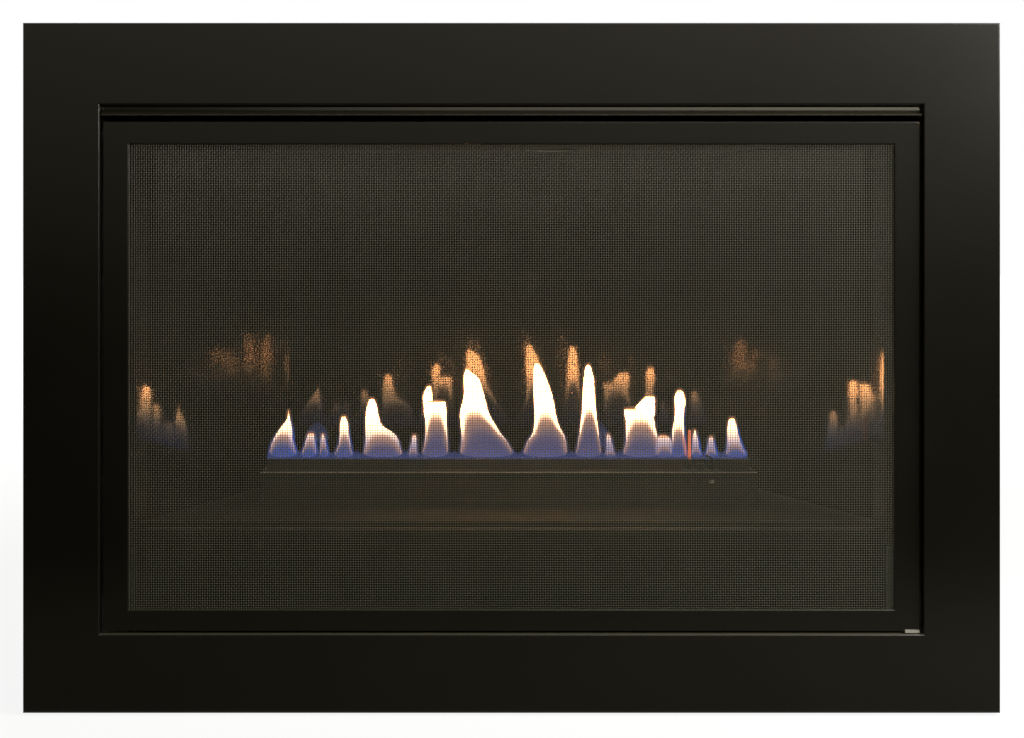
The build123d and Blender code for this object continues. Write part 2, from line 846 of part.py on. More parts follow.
def burner_tray():
    """Table over the gas pipes: slotted top, lips front and back, legs and feet at the ends."""
    top = tray_top
    corners = [(tray_half - tray_foot, hearth), (tray_half, hearth), (tray_half, top), (-tray_half, top)]
    corners += [(-tray_half, hearth), (tray_foot - tray_half, hearth)]
    tray = upright(folded(corners, sheet, Side.LEFT, fold_radius + sheet), tray_front, tray_back - tray_front)
    lip = (top - tray_lip, top - sheet / 2)
    inside = tray_half - sheet / 2
    tray += block(both(inside), (tray_front, tray_front + sheet), lip)
    tray += block(both(inside), (tray_back - sheet, tray_back), lip)
    slot_x = both(burner_length / 2 + burner_play)
    tray -= block(slot_x, around(burner_depth, burner_width / 2 + burner_play), (hearth - over, top + over))
    window_x = around(pilot_x, pilot_plate_length / 2 - pilot_seat)
    window_depth = around(pilot_depth, pilot_plate_depth / 2 - pilot_seat)
    return tray - block(window_x, window_depth, (top - sheet - over, top + over))


def ribbon_burner():
    """Tall closed box burner with a row of slots across its top."""
    wall = burner_wall
    half = burner_length / 2
    top = hearth + burner_height
    box = block(both(half), around(burner_depth, burner_width / 2), (hearth, top))
    box = fillet(box.edges().filter_by(Axis.X), wall)
    inside = around(burner_depth, burner_width / 2 - wall)
    box -= block(both(half - wall), inside, (hearth + wall, top - wall))
    pitch = (burner_length - 2 * port_margin) / (port_count - 1)
    ports = Sketch() + GridLocations(pitch, 1, port_count, 1) * Rectangle(port_width, port_length)
    box -= upward(Pos(0, burner_depth) * ports, top - wall - over, top + over)
    bore = mixing_radius - mixing_wall
    inlet_x = mixing_start + mixing_bend
    return box - rod_y(bore, burner_back - wall - over, burner_back + over, inlet_x, mixing_z)


def mixing_tube():
    """Tube that draws air round the gas jet: a caged inlet, a straight run and a bend into the burner."""
    y = front_y + mixing_depth
    straight = Line((mixing_inlet, y, mixing_z), (mixing_start, y, mixing_z))
    outlet = (mixing_start + mixing_bend, y - mixing_bend, mixing_z)
    bend = TangentArc(straight @ 1, outlet, tangent=straight % 1)
    tube = pipe(straight + bend, mixing_radius, mixing_wall)
    wall = mixing_wall
    profile = [
        (orifice_nose + orifice_gap, cage_end), (cage_radius, cage_end), (cage_radius, mixing_inlet + wall),
        (mixing_radius - wall, mixing_inlet + wall), (mixing_radius - wall, mixing_inlet),
        (cage_radius - wall, mixing_inlet), (cage_radius - wall, cage_end + wall),
        (orifice_nose + orifice_gap, cage_end + wall),
    ]
    turned = revolve(Plane.XZ * make_face(Polyline(*profile, close=True)), Axis.Z)
    cage = Pos(0, y, mixing_z) * Rot(0, 90, 0) * turned
    return tube + (cage - air_windows(cage_radius))


def air_windows(radius):
    """Cutter for two opposite windows in the caged inlet or the sleeve on it."""
    window_x = around(cage_middle, cage_window / 2)
    return block(window_x, around(mixing_depth, radius + over), around(mixing_z, cage_slot / 2))


def air_shutter():
    """Sleeve with windows that turns on the cage, with a small lever."""
    inner = cage_radius + running_gap
    outer = inner + shutter_wall
    start = cage_middle - shutter_length / 2
    ring = Pos(mixing_depth, mixing_z) * (Circle(outer) - Circle(inner))
    lever_z = (mixing_z + inner + shutter_wall / 2, mixing_z + outer + lever_reach)
    lever = area(around(mixing_depth, lever_width / 2), lever_z)
    sleeve = across(ring, start, start + shutter_length) - air_windows(outer)
    return sleeve + across(lever, start, start + lever_width)


def gas_orifice():
    """Brass jet: a nose into the cage, a hexagon body and a threaded stem down through the firebox floor."""
    tip = cage_end + orifice_reach
    nose = rod_x(orifice_nose, orifice_x, tip, mixing_depth, mixing_z)
    nose -= rod_x(jet_radius, cage_end - orifice_reach, tip + over, mixing_depth, mixing_z)
    body_start = orifice_x - orifice_body / 2
    body = across(Pos(mixing_depth, mixing_z) * hexagon(orifice_flats), body_start, body_start + orifice_body)
    stem = rod_z(orifice_nose, hearth - bulkhead_reach, mixing_z, orifice_x, mixing_depth)
    flats = Pos(orifice_x, mixing_depth) * hexagon(orifice_flats)
    collar = upward(flats, hearth, hearth + bulkhead_nut)
    under = hearth - heavy_sheet
    return nose + body + stem + collar + upward(flats, under - bulkhead_nut, under)


# ---- pilot, on a plate over the tray's window ----
def pilot_burner():
    """Plate with the pilot's hooded nozzle and clear holes for the two rods beside it."""
    tail = tray_top - pilot_tail
    crown = tray_top + pilot_hood - pilot_crown
    plate_x = around(pilot_x, pilot_plate_length / 2)
    pilot = block(plate_x, around(pilot_depth, pilot_plate_depth / 2), (tray_top, tray_top + heavy_sheet))
    pilot += rod_z(pilot_radius, tail, tray_top + pilot_hood, pilot_x, pilot_depth)
    outlet_depth = (pilot_depth, pilot_depth + pilot_radius + over)
    pilot -= block(around(pilot_x, pilot_mouth), outlet_depth, (crown - pilot_mouth, crown))
    pilot -= rod_z(pilot_bore, tail - over, crown, pilot_x, pilot_depth)
    for x in around(pilot_x, pilot_pitch):
        pilot -= rod_z(ceramic_radius, tray_top - over, tray_top + heavy_sheet + over, x, pilot_depth)
    return pilot


def flame_sensor():
    """Rod that glows in the flame, with its ferrule in the pilot's plate."""
    x = pilot_x - pilot_pitch
    top = tray_top + ceramic_height
    ferrule = rod_z(ceramic_radius, tray_top - pilot_tail, top, x, pilot_depth)
    rod = rod_z(sensor_radius, top, tray_top + sensor_height, x, pilot_depth)
    return ferrule + fillet(rod.edges().group_by(Axis.Z)[-1], sensor_radius * fillet_share)


def ignition_electrode():
    """Ceramic-sleeved wire whose tip leans towards the pilot's mouth."""
    x = pilot_x + pilot_pitch
    y = front_y + pilot_depth
    top = tray_top + ceramic_height
    sleeve = rod_z(ceramic_radius, tray_top - pilot_tail, top, x, pilot_depth)
    knee = (x, y, top + electrode_rise)
    tip = (x - electrode_lean, y, top + 1.5 * electrode_rise)
    path = FilletPolyline((x, y, top - over), knee, tip, radius=electrode_bend)
    return sleeve + sweep(Plane(origin=path @ 0, z_dir=path % 0) * Circle(electrode_radius), path)


# ---- gas valve ----
valve_right = -support_web
valve_left = valve_right - valve_length
valve_middle = (valve_left + valve_right) / 2
knob_places = around(valve_middle, knob_offset)
boss_face = valve_front - boss_stand
feed_height = valve_z - feed_drop
feed_start = valve_back + boss_stand


def gas_valve():
    """Cast body with a boss for each knob, a regulator tower and its inlet and outlet ports."""
    height = around(valve_z, valve_height / 2)
    body = block((valve_left, valve_right), (valve_front, valve_back), height)
    body = fillet(body.edges(), valve_edge)
    tower = rod_z(tower_radius, height[1] - valve_edge, height[1] + tower_height, valve_middle, inlet_depth)
    body += chamfer(tower.edges().group_by(Axis.Z)[-1], tower_chamfer)
    body += rod_x(tower_radius, valve_left - port_stand, valve_left + valve_edge, inlet_depth, valve_z)
    body += rod_y(port_radius, valve_back - valve_edge, feed_start, orifice_x, feed_height)
    for x in knob_places:
        body += rod_y(hub_radius + boss_wall, boss_face, valve_front + valve_edge, x, valve_z)
        body -= rod_y(hub_radius + running_gap, boss_face - over, boss_face + hub_seat, x, valve_z)
    return body


def knob(centre, radius, front, back, hub, hub_end):
    """Turned knob with a raised grip bar, whose hub runs in a bore behind it."""
    x, height = centre
    shoulder = back - knob_skirt
    skirt = rod_y(radius, shoulder, back, x, height)
    skirt = chamfer(skirt.edges().group_by(Axis.Y)[0], knob_chamfer)
    dome = rod_y(radius - knob_step, shoulder - knob_dome, shoulder, x, height)
    grip_height = around(height, radius - knob_chamfer)
    grip = block(around(x, knob_grip / 2), (front, shoulder + over), grip_height)
    grip = fillet(grip.edges().filter_by(Axis.Y), knob_chamfer)
    return skirt + dome + grip + rod_y(hub, back - over, hub_end, x, height)


def valve_knob(x, radius):
    """A knob of the gas valve, its hub seated in the boss."""
    back = knob_front + knob_depth
    return knob((x, valve_z), radius, knob_front, back, hub_radius, boss_face + hub_seat - contact_gap)


def gas_inlet_pipe():
    """Pipe out through the casing's side, with a hexagon at each end and a plain length for the thread."""
    place = Pos(inlet_depth, valve_z)
    start = valve_left - port_stand
    bore = Circle(inlet_radius - inlet_wall)
    hexagon_ring = place * (hexagon(inlet_nut) - bore)
    pipe_line = across(place * (Circle(inlet_radius - inlet_step) - bore), -casing_half, start)
    pipe_line += across(hexagon_ring, start - inlet_nut_length, start)
    pipe_line += across(hexagon_ring, -casing_half, -casing_half + inlet_nut_length)
    return pipe_line + across(place * (Circle(inlet_radius) - bore), -casing_half - inlet_reach, -casing_half)


def burner_feed_tube():
    """Small tube from the valve's rear port, back and up to the jet's stem."""
    y = front_y + mixing_depth
    elbow = (orifice_x, y, feed_height)
    end = (orifice_x, y, hearth - bulkhead_reach)
    route = FilletPolyline((orifice_x, front_y + feed_start, feed_height), elbow, end, radius=feed_bend)
    return pipe(route, feed_radius, feed_wall)


# ---- access panel ----
def access_panel():
    """Shallow folded tray with notched top corners; its side folds carry the hinge pins."""
    top = hearth
    side_depth = (panel_depth, panel_depth + panel_side_return)
    panel = upright(area(both(panel_half), (panel_bottom, top)), panel_depth, sheet)
    panel += block(both(panel_half), (panel_depth, panel_depth + panel_return), (top - sheet, top))
    panel += block(both(panel_half), side_depth, (panel_bottom, panel_bottom + sheet))
    notch_depth = (panel_depth + 2 * sheet, panel_depth + panel_return + over)
    pivot = Pos(pivot_depth, pivot_height)
    for side in (-1, 1):
        edge = outward(side, panel_half - sheet, panel_half)
        panel += block(edge, side_depth, (panel_bottom, top))
        notch = outward(side, panel_half - panel_notch, panel_half + over)
        panel -= block(notch, notch_depth, (top - 2 * sheet, top + over))
        panel += across(pivot * Circle(pivot_radius + pivot_wall), *edge)
        panel -= across(pivot * Circle(pivot_radius), *edge)
    return fillet(panel.edges().group_by(Axis.Y)[0].filter_by(Axis.X), sheet * fillet_share)


def panel_hinge_pins():
    """Headed pins pressed through the panel's side folds, turning in the pan's lugs."""
    inner = panel_half - sheet
    pin = rod_x(pivot_radius, inner, lug_inner + heavy_sheet + over, pivot_depth, pivot_height)
    pin += rod_x(pivot_radius + pin_head_step, inner - pin_head, inner, pivot_depth, pivot_height)
    return Compound(children=[mirrored(pin), pin])


# ---- controls on the right ----
control_left = support_web
control_z = leveller_reach + control_bottom + control_rise
igniter_x, switch_x, dial_x = [control_left + control_first + control_pitch * place for place in range(3)]
plate_front = control_depth - sheet
bezel_face = plate_front - bezel


def control_plate():
    """Upright plate folded back along the right support, with a hole for each control."""
    inner = control_left + sheet
    corners = [(control_left + control_width, control_depth), (inner, control_depth)]
    corners.append((inner, control_depth + control_return))
    bottom = leveller_reach + control_bottom
    plate = upward(folded(corners, sheet), bottom, bottom + control_height)
    cut = (plate_front - over, control_depth + over)
    plate -= rod_y(igniter_radius + contact_gap, *cut, igniter_x, control_z)
    plate -= block(around(switch_x, switch_half), cut, around(control_z, switch_half_height))
    return plate - rod_y(bush_radius + contact_gap, *cut, dial_x, control_z)


switch_half = rocker_width / 2 + switch_wall + 2 * contact_gap
switch_half_height = rocker_height / 2 + switch_wall + 2 * contact_gap


def igniter_body():
    """Spark generator barrel with a bezel in front and a terminal behind."""
    back = plate_front + igniter_length
    body = rod_y(bezel_radius, bezel_face, plate_front, igniter_x, control_z)
    body += rod_y(igniter_radius, plate_front, back, igniter_x, control_z)
    body += rod_y(terminal_post, back, back + terminal_reach, igniter_x, control_z)
    nut = hexagon(2 * bezel_radius - bezel) - Circle(igniter_radius)
    body += upright(Pos(igniter_x, control_z) * nut, control_depth, igniter_nut)
    bore_end = button_end + button_travel + over
    return body - rod_y(button_radius + running_gap, bezel_face - over, bore_end, igniter_x, control_z)


button_end = plate_front + button_shank


def igniter_button():
    """Push button with a rounded end, running in the barrel."""
    button = rod_y(button_radius, bezel_face - button_stand, button_end, igniter_x, control_z)
    return fillet(button.edges().group_by(Axis.Y)[0], button_edge)


rocker_pivot = plate_front + pivot_behind


def switch_housing():
    """Bezel and body of the rocker switch, hollow where the rocker tilts."""
    back = plate_front + switch_body
    bezel_x = around(switch_x, switch_half + switch_lip)
    bezel_z = around(control_z, switch_half_height + switch_lip)
    body = block(bezel_x, (bezel_face, plate_front), bezel_z)
    body = fillet(body.edges().filter_by(Axis.Y), switch_lip)
    body_x = around(switch_x, switch_half - contact_gap)
    body += block(body_x, (plate_front, back), around(control_z, switch_half_height - contact_gap))
    hollow_x = around(switch_x, rocker_width / 2 + contact_gap)
    hollow_z = around(control_z, rocker_height / 2 + rocker_play)
    body -= block(hollow_x, (bezel_face - over, bezel_face + rocker_depth + rocker_heel), hollow_z)
    for z in around(control_z, terminal_spacing / 2):
        blade = (around(switch_x, terminal_width / 2), (back, back + terminal_reach), around(z, terminal / 2))
        body += block(*blade)
    return body


def switch_rocker():
    """Shallow V-faced rocker, shown with its upper half pressed in."""
    half = rocker_height / 2
    tip = bezel_face - half * sin(radians(rocker_tilt))
    cheek = bezel_face + rocker_cheek
    back = bezel_face + rocker_depth
    heel = rocker_heel / 2
    corners = [(tip, half), (bezel_face, 0), (tip, -half)]
    corners += [(cheek, -half), (back, -heel), (back, heel), (cheek, half)]
    face = make_face(Polyline(*corners, close=True))
    tilted = Pos(rocker_pivot, 0) * Rot(0, 0, rocker_tilt) * Pos(-rocker_pivot, 0) * face
    return across(Pos(0, control_z) * tilted, *around(switch_x, rocker_width / 2))


def speed_control():
    """Rotary regulator behind the plate, with its threaded bush and nut through it."""
    half = control_body / 2
    back = control_depth + control_body_depth
    body = block(around(dial_x, half), (control_depth, back), around(control_z, half))
    body = fillet(body.edges().filter_by(Axis.Y), control_edge)
    body += rod_y(bush_radius, plate_front - bush_stand, control_depth, dial_x, control_z)
    nut = Pos(dial_x, control_z) * hexagon(bush_nut)
    body += upright(nut, plate_front - bush_nut_height, bush_nut_height)
    for place in (-1, 0, 1):
        blade_x = around(dial_x + place * terminal_width, terminal / 2)
        body += block(blade_x, (back, back + terminal_reach), around(control_z, terminal_width / 2))
    bore = (plate_front - bush_stand - over, control_depth + dial_seat + contact_gap)
    return body - rod_y(shaft_radius + running_gap, *bore, dial_x, control_z)


def speed_dial():
    """Knob whose shaft runs in the regulator's bush."""
    back = plate_front - bush_stand - contact_gap
    front = back - dial_depth
    return knob((dial_x, control_z), dial_radius, front, back, shaft_radius, control_depth + dial_seat)


# ---- blower ----
wheel_depth = overall_depth - wheel_back_inset
wheel_z = leveller_reach + wheel_rise
scroll_radius = wheel_radius + scroll_gap
housing_half = wheel_length / 2 + housing_end_gap


def blower_wheel():
    """Cross-flow wheel: curved blades between end discs and a middle ring, on a through shaft."""
    arc = ThreePointArc((-blade_chord / 2, 0), (0, blade_bow), (blade_chord / 2, 0))
    blade = make_face(offset(arc, amount=blade_sheet, side=Side.LEFT).edges())
    places = PolarLocations(wheel_radius - blade_inset, blade_count)
    section = Sketch() + places * (Rot(0, 0, blade_angle) * blade)
    half = wheel_length / 2
    axis = Pos(wheel_depth, wheel_z)
    wheel = across(axis * section, -half, half)
    for start in (-half, half - sheet):
        wheel += across(axis * Circle(wheel_radius), start, start + sheet)
    middle_ring = Circle(wheel_radius) - Circle(wheel_radius - 2 * blade_inset)
    wheel += across(axis * middle_ring, -sheet / 2, sheet / 2)
    shaft_end = housing_half + motor_gap + motor_stack + shaft_stub
    return wheel + rod_x(shaft_radius, -housing_half - shaft_stub, shaft_end, wheel_depth, wheel_z)


def blower_housing():
    """Scroll, tongue and end plates of the blower, with feet on the base pan."""
    axis = Pos(wheel_depth, wheel_z)
    front = wheel_depth - housing_mouth
    back = wheel_depth + scroll_radius
    low = wheel_z - scroll_radius
    high = wheel_z + scroll_radius + outlet_rise
    section = folded([(front, low), (back, low), (back, high)], sheet, Side.RIGHT, scroll_radius)
    lip = wheel_z + wheel_radius + tongue_gap
    tongue_depth = back - outlet_width
    corners = [(front, lip), (tongue_depth, lip), (tongue_depth, high)]
    tongue = folded(corners, sheet, Side.LEFT, tongue_radius)
    housing = across(section, -housing_half, housing_half) + across(tongue, -housing_half, housing_half)
    end = area((front, back), (low, high)) + axis * Circle(scroll_radius - tongue_gap)
    end = fillet(end.vertices().group_by(Axis.X)[-1], housing_corner)
    foot_depth = (front, back - housing_corner)
    end += area(foot_depth, (pan_top, low + housing_corner))
    for side in (-1, 1):
        housing += across(end, *outward(side, housing_half - sheet, housing_half))
        boss = outward(side, housing_half - bearing_length, housing_half)
        housing += across(axis * Circle(shaft_radius + bearing_wall), *boss)
        toe = outward(side, housing_half - housing_toe, housing_half)
        housing += block(toe, foot_depth, (pan_top, pan_top + sheet))
    ends = both(housing_half + over)
    return housing - rod_x(shaft_radius + running_gap, *ends, wheel_depth, wheel_z)


def blower_motor():
    """Shaded-pole motor: laminated frame with a coil above, bossed bearings and a bridge to the housing."""
    start = housing_half + motor_gap
    end = start + motor_stack
    bottom = wheel_z - motor_drop
    frame = block((start, end), around(wheel_depth, motor_width / 2), (bottom, bottom + motor_height))
    frame = fillet(frame.edges().filter_by(Axis.X), motor_edge)
    coil_z = (wheel_z + coil_rise, wheel_z + coil_rise + coil_height)
    coil = block((start, end + coil_stand), around(wheel_depth, coil_half), coil_z)
    motor = frame + fillet(coil.edges().filter_by(Axis.X), motor_edge)
    motor += rod_x(motor_bearing, end, end + bearing_length, wheel_depth, wheel_z)
    for depth in around(wheel_depth, motor_width / 2 - motor_screw_inset):
        motor += rod_x(motor_screw, housing_half, start, depth, bottom + motor_screw_inset)
    bore = (start - over, end + bearing_length + over)
    return motor - rod_x(shaft_radius + running_gap, *bore, wheel_depth, wheel_z)


# ---- flue ----
def flue_plate():
    """Doubler plate on the casing round the two collars."""
    depth = 2 * (collar_radius + flue_plate_margin)
    outline = Pos(0, collar_depth) * RectangleRounded(collar_spacing + depth, depth, flue_plate_margin / 2)
    seat = casing_top + heavy_sheet
    plate = upward(outline, casing_top, seat)
    for x in both(collar_spacing / 2):
        plate -= rod_z(collar_radius + collar_play, casing_top - over, seat + over, x, collar_depth)
    return plate


def collar(x, bottom):
    """Spigot that a flexible liner slides over, with a rolled stop bead above the plate."""
    top = casing_top + collar_height
    seat = casing_top + heavy_sheet
    tube = rod_z(collar_radius, bottom, top, x, collar_depth)
    ring = rod_z(collar_radius + bead, seat, seat + bead_height, x, collar_depth)
    ring = fillet(ring.edges().filter_by(GeomType.CIRCLE), bead * fillet_share)
    return tube + ring - rod_z(collar_radius - collar_wall, bottom - over, top + over, x, collar_depth)


def air_duct():
    """Channel from the intake collar over the firebox and down behind it, closed by roof and back."""
    x = -collar_spacing / 2
    front = collar_depth - collar_radius - duct_margin
    back = casing_back_face - back_flange
    behind = firebox_back + heavy_sheet
    bottom = leveller_reach + duct_bottom
    outline = duct_section((front, back), (firebox_roof, casing_ceiling), (behind, bottom))
    inside_depth = (front + duct_sheet, back - duct_sheet)
    inside_height = (firebox_roof - over, casing_ceiling - duct_sheet)
    inside = duct_section(inside_depth, inside_height, (behind - over, bottom + duct_sheet))
    duct = across(outline, *around(x, duct_half_width))
    duct -= across(inside, *around(x, duct_half_width - duct_sheet))
    bore = (casing_ceiling - duct_sheet - over, casing_top)
    return duct - rod_z(collar_radius - collar_wall, *bore, x, collar_depth)


def duct_section(depth, height, drop):
    """The duct's L seen from the side: along the top and down behind the firebox."""
    behind, bottom = drop
    corners = [(depth[0], height[0]), (behind, height[0]), (behind, bottom), (depth[1], bottom)]
    corners += [(depth[1], height[1]), (depth[0], height[1])]
    return make_face(Polyline(*corners, close=True))


left_liner, right_liner, back_liner = liners()
bracket = surround_bracket()
support = firebox_support()
pieces = {
    "surround_panel": surround_panel(),
    "surround_brackets": Compound(children=[mirrored(bracket), bracket]),
    "surround_nuts": stud_nuts(),
    "screen_frame": screen_frame(),
    "screen_cloth": screen_cloth(),
    "screen_retainers": screen_retainers(),
    "screen_pull_tab": screen_pull_tab(),
    "screen_magnets": screen_magnets(),
    "base_pan": base_pan(),
    "left_casing_side": left_casing_side(),
    "right_casing_side": right_casing_side(),
    "casing_back": casing_back(),
    "casing_top": casing_top_sheet(),
    "air_deflector": air_deflector(),
    "power_gland": power_gland(),
    "firebox_front": firebox_front(),
    "firebox_wrap": firebox_wrap(),
    "firebox_floor": firebox_floor(),
    "firebox_top": firebox_top(),
    "firebox_supports": Compound(children=[mirrored(support), support]),
    "left_liner": left_liner,
    "right_liner": right_liner,
    "back_liner": back_liner,
    "glass_frame": glass_frame(),
    "glass_pane": glass_pane(),
    "glass_gasket": glass_gasket(),
    "glass_clamps": glass_clamps(),
    "burner_tray": burner_tray(),
    "ribbon_burner": ribbon_burner(),
    "mixing_tube": mixing_tube(),
    "air_shutter": air_shutter(),
    "gas_orifice": gas_orifice(),
    "pilot_burner": pilot_burner(),
    "flame_sensor": flame_sensor(),
    "ignition_electrode": ignition_electrode(),
    "gas_valve": gas_valve(),
    "control_knob": valve_knob(knob_places[0], knob_radius),
    "flame_knob": valve_knob(knob_places[1], small_knob_radius),
    "gas_inlet_pipe": gas_inlet_pipe(),
    "burner_feed_tube": burner_feed_tube(),
    "access_panel": access_panel(),
    "panel_hinge_pins": panel_hinge_pins(),
    "control_plate": control_plate(),
    "igniter_body": igniter_body(),
    "igniter_button": igniter_button(),
    "switch_housing": switch_housing(),
    "switch_rocker": switch_rocker(),
    "speed_control": speed_control(),
    "speed_dial": speed_dial(),
    "blower_housing": blower_housing(),
    "blower_wheel": blower_wheel(),
    "blower_motor": blower_motor(),
    "flue_plate": flue_plate(),
    "exhaust_collar": collar(collar_spacing / 2, firebox_roof),
    "intake_collar": collar(-collar_spacing / 2, casing_ceiling),
    "air_duct": air_duct(),
}
for (x, depth), corner in zip(leveller_places, ("front_left", "back_left", "front_right", "back_right")):
    pieces[f"levelling_bolt_{corner}"] = levelling_bolt(x, depth)

os.makedirs("parts", exist_ok=True)
for name, piece in pieces.items():
    export_step(piece, f"parts/{name}.step")
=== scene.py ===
import functools
import math
import bpy
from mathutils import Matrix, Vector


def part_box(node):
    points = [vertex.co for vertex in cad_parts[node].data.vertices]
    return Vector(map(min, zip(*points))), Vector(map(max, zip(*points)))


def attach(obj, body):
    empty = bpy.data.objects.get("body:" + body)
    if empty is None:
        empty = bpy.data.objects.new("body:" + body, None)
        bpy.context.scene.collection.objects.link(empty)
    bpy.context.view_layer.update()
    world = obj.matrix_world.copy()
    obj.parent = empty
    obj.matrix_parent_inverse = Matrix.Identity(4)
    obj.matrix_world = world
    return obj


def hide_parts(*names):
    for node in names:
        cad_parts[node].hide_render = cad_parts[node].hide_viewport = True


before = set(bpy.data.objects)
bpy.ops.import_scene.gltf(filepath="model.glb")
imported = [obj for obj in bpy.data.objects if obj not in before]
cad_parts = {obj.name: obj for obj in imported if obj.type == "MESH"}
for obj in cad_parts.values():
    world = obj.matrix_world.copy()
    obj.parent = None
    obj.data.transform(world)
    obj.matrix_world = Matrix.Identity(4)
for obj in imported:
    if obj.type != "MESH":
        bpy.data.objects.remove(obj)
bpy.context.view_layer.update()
bpy.context.scene.view_settings.view_transform = "Standard"

# ---------------------------------------------------------------------------
# Casing: base pan, two sides, back and top, folded from 1 mm galvanised sheet and riveted at the flanges.
# Hot-dip zinc freezes in flat leafy crystals about 9 mm across, each at its own grey and its own gloss.
# The same sheet makes the brackets, supports, control plate, blower housing, flue plate and air duct.
def linear(written):
    """Turns a written sRGB colour such as #8090a0 into the linear colour that a shader takes."""
    parts = [int(written[place:place + 2], 16) / 255 for place in (1, 3, 5)]
    light = (part / 12.92 if part <= 0.04045 else ((part + 0.055) / 1.055) ** 2.4 for part in parts)
    return tuple(light) + (1.0,)


def add_node(tree, kind, sockets, **settings):
    """Adds a shader node. A socket takes a number, another's output, or a node for its first output in use."""
    node = tree.nodes.new("ShaderNode" + kind)
    for name, value in settings.items():
        setattr(node, name, value)
    for name, value in sockets.items():
        if isinstance(value, bpy.types.Node):
            value = next(output for output in value.outputs if output.enabled)
        if isinstance(value, bpy.types.NodeSocket):
            tree.links.new(value, node.inputs[name])
        else:
            node.inputs[name].default_value = value
    return node


def new_finish(name):
    """Starts a material with nothing in it, and hands back with it the function that adds its nodes."""
    material = bpy.data.materials.new(name)
    material.use_nodes = True
    material.node_tree.nodes.clear()
    return material, functools.partial(add_node, material.node_tree)


def dress(material, shader, *names):
    """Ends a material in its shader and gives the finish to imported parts, if any are named."""
    add_node(material.node_tree, "OutputMaterial", {"Surface": shader})
    for name in names:
        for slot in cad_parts[name].material_slots:
            slot.material = material


def per_metre(millimetres):
    """The scale of a pattern whose cells are that many millimetres across."""
    return 1000.0 / millimetres


spangle = 9.0
zinc_grain = 0.6
galvanised_sheet, add = new_finish("galvanised_sheet_steel")
place = add("TexCoord", {}).outputs["Object"]
leaf_warp = add("TexNoise", {"Vector": place, "Scale": per_metre(14), "Detail": 2.0})
leaf_place = add("Mix", {0: 0.006, 4: place, 5: leaf_warp.outputs["Color"]}, data_type="VECTOR")
leaves = add("TexVoronoi", {"Vector": leaf_place, "Scale": per_metre(spangle)})
leaf_tone = add("SeparateColor", {"Color": leaves.outputs["Color"]})
handling = add("TexNoise", {"Vector": place, "Scale": per_metre(120), "Detail": 5.0, "Roughness": 0.6})
grain = add("TexNoise", {"Vector": place, "Scale": per_metre(zinc_grain), "Detail": 2.0})
zinc_tone = add("Mix", {0: leaf_tone.outputs[0], 6: linear("#94999d"), 7: linear("#b0b5b8")},
                data_type="RGBA")
dulled = add("MapRange", {"Value": handling, "From Min": 0.5, "From Max": 0.75, "To Max": 0.45})
zinc_colour = add("Mix", {0: dulled, 6: zinc_tone, 7: linear("#7f8384")}, data_type="RGBA")
zinc_rough = add("MapRange", {"Value": leaf_tone.outputs[1], "To Min": 0.34, "To Max": 0.56})
round_edge = add("Bevel", {"Radius": 0.0006}, samples=4)
zinc_bump = add("Bump", {"Strength": 0.15, "Distance": 0.0002, "Height": grain, "Normal": round_edge})
zinc = add("BsdfPrincipled", {"Base Color": zinc_colour, "Metallic": 1.0, "Roughness": zinc_rough,
                              "Normal": zinc_bump})
dress(galvanised_sheet, zinc, "base_pan", "left_casing_side", "right_casing_side", "casing_back", "casing_top",
      "surround_brackets", "firebox_supports", "control_plate", "blower_housing", "flue_plate", "air_duct")

# ---------------------------------------------------------------------------
# Fasteners and turned steel: levelling bolts, nuts, clamps, hinge pins, gas pipe, motor and speed control.
# Steel plated with bright zinc, which is bluish white with a faint yellow bloom and fine rolled-on scuffs.
bolt_steel, add = new_finish("bright_zinc_plated_steel")
place = add("TexCoord", {}).outputs["Object"]
bloom = add("TexNoise", {"Vector": place, "Scale": per_metre(11), "Detail": 4.0})
scuffs = add("TexNoise", {"Vector": place, "Scale": per_metre(0.8), "Detail": 3.0})
plated_colour = add("Mix", {0: bloom, 6: linear("#b9bec4"), 7: linear("#c3bda6")}, data_type="RGBA")
plated_rough = add("MapRange", {"Value": scuffs, "To Min": 0.18, "To Max": 0.42})
turned_edge = add("Bevel", {"Radius": 0.0004}, samples=4)
plated_bump = add("Bump", {"Strength": 0.12, "Distance": 0.0001, "Height": scuffs, "Normal": turned_edge})
plated = add("BsdfPrincipled", {"Base Color": plated_colour, "Metallic": 1.0, "Roughness": plated_rough,
                                "Normal": plated_bump})
dress(bolt_steel, plated, "levelling_bolt_front_left", "levelling_bolt_back_left", "levelling_bolt_front_right",
      "levelling_bolt_back_right", "surround_nuts", "glass_clamps", "panel_hinge_pins", "gas_inlet_pipe",
      "speed_control", "blower_motor")

# ---------------------------------------------------------------------------
# Flue collars, mixing tube and air shutter: 430 stainless sheet, rolled and brushed in lines 0.5 mm apart, drawn
# at 1 mm so that they show. Above the burner's top, as hot stainless does, it has run through straw and violet to
# blue. Inside the exhaust collar it is coloured near black and matt, with no metal shine.
burner_top = 0.2365
cool_above = 0.29               # the collars start above it, far from the flames
flue_middle = (0.060, 0.10875)
flue_inside = 0.0376
brushed_stainless, add = new_finish("brushed_stainless_steel")
place = add("TexCoord", {}).outputs["Object"]
along = add("Mapping", {"Vector": place, "Scale": (0.02, 1.0, 1.0)})
brushing = add("TexNoise", {"Vector": along, "Scale": per_metre(1.0), "Detail": 3.0})
tint_edge = add("TexNoise", {"Vector": place, "Scale": per_metre(18), "Detail": 3.0})
height = add("SeparateXYZ", {"Vector": place})
wander = add("Math", {0: tint_edge, 1: 0.012}, operation="MULTIPLY")
ragged = add("Math", {0: height.outputs["Z"], 1: wander}, operation="ADD")
above_tray = add("MapRange", {"Value": ragged, "From Min": burner_top - 0.016,
                              "From Max": burner_top + 0.008})
straw = add("Mix", {0: above_tray, 6: linear("#bdbab4"), 7: linear("#8a6a45")}, data_type="RGBA")
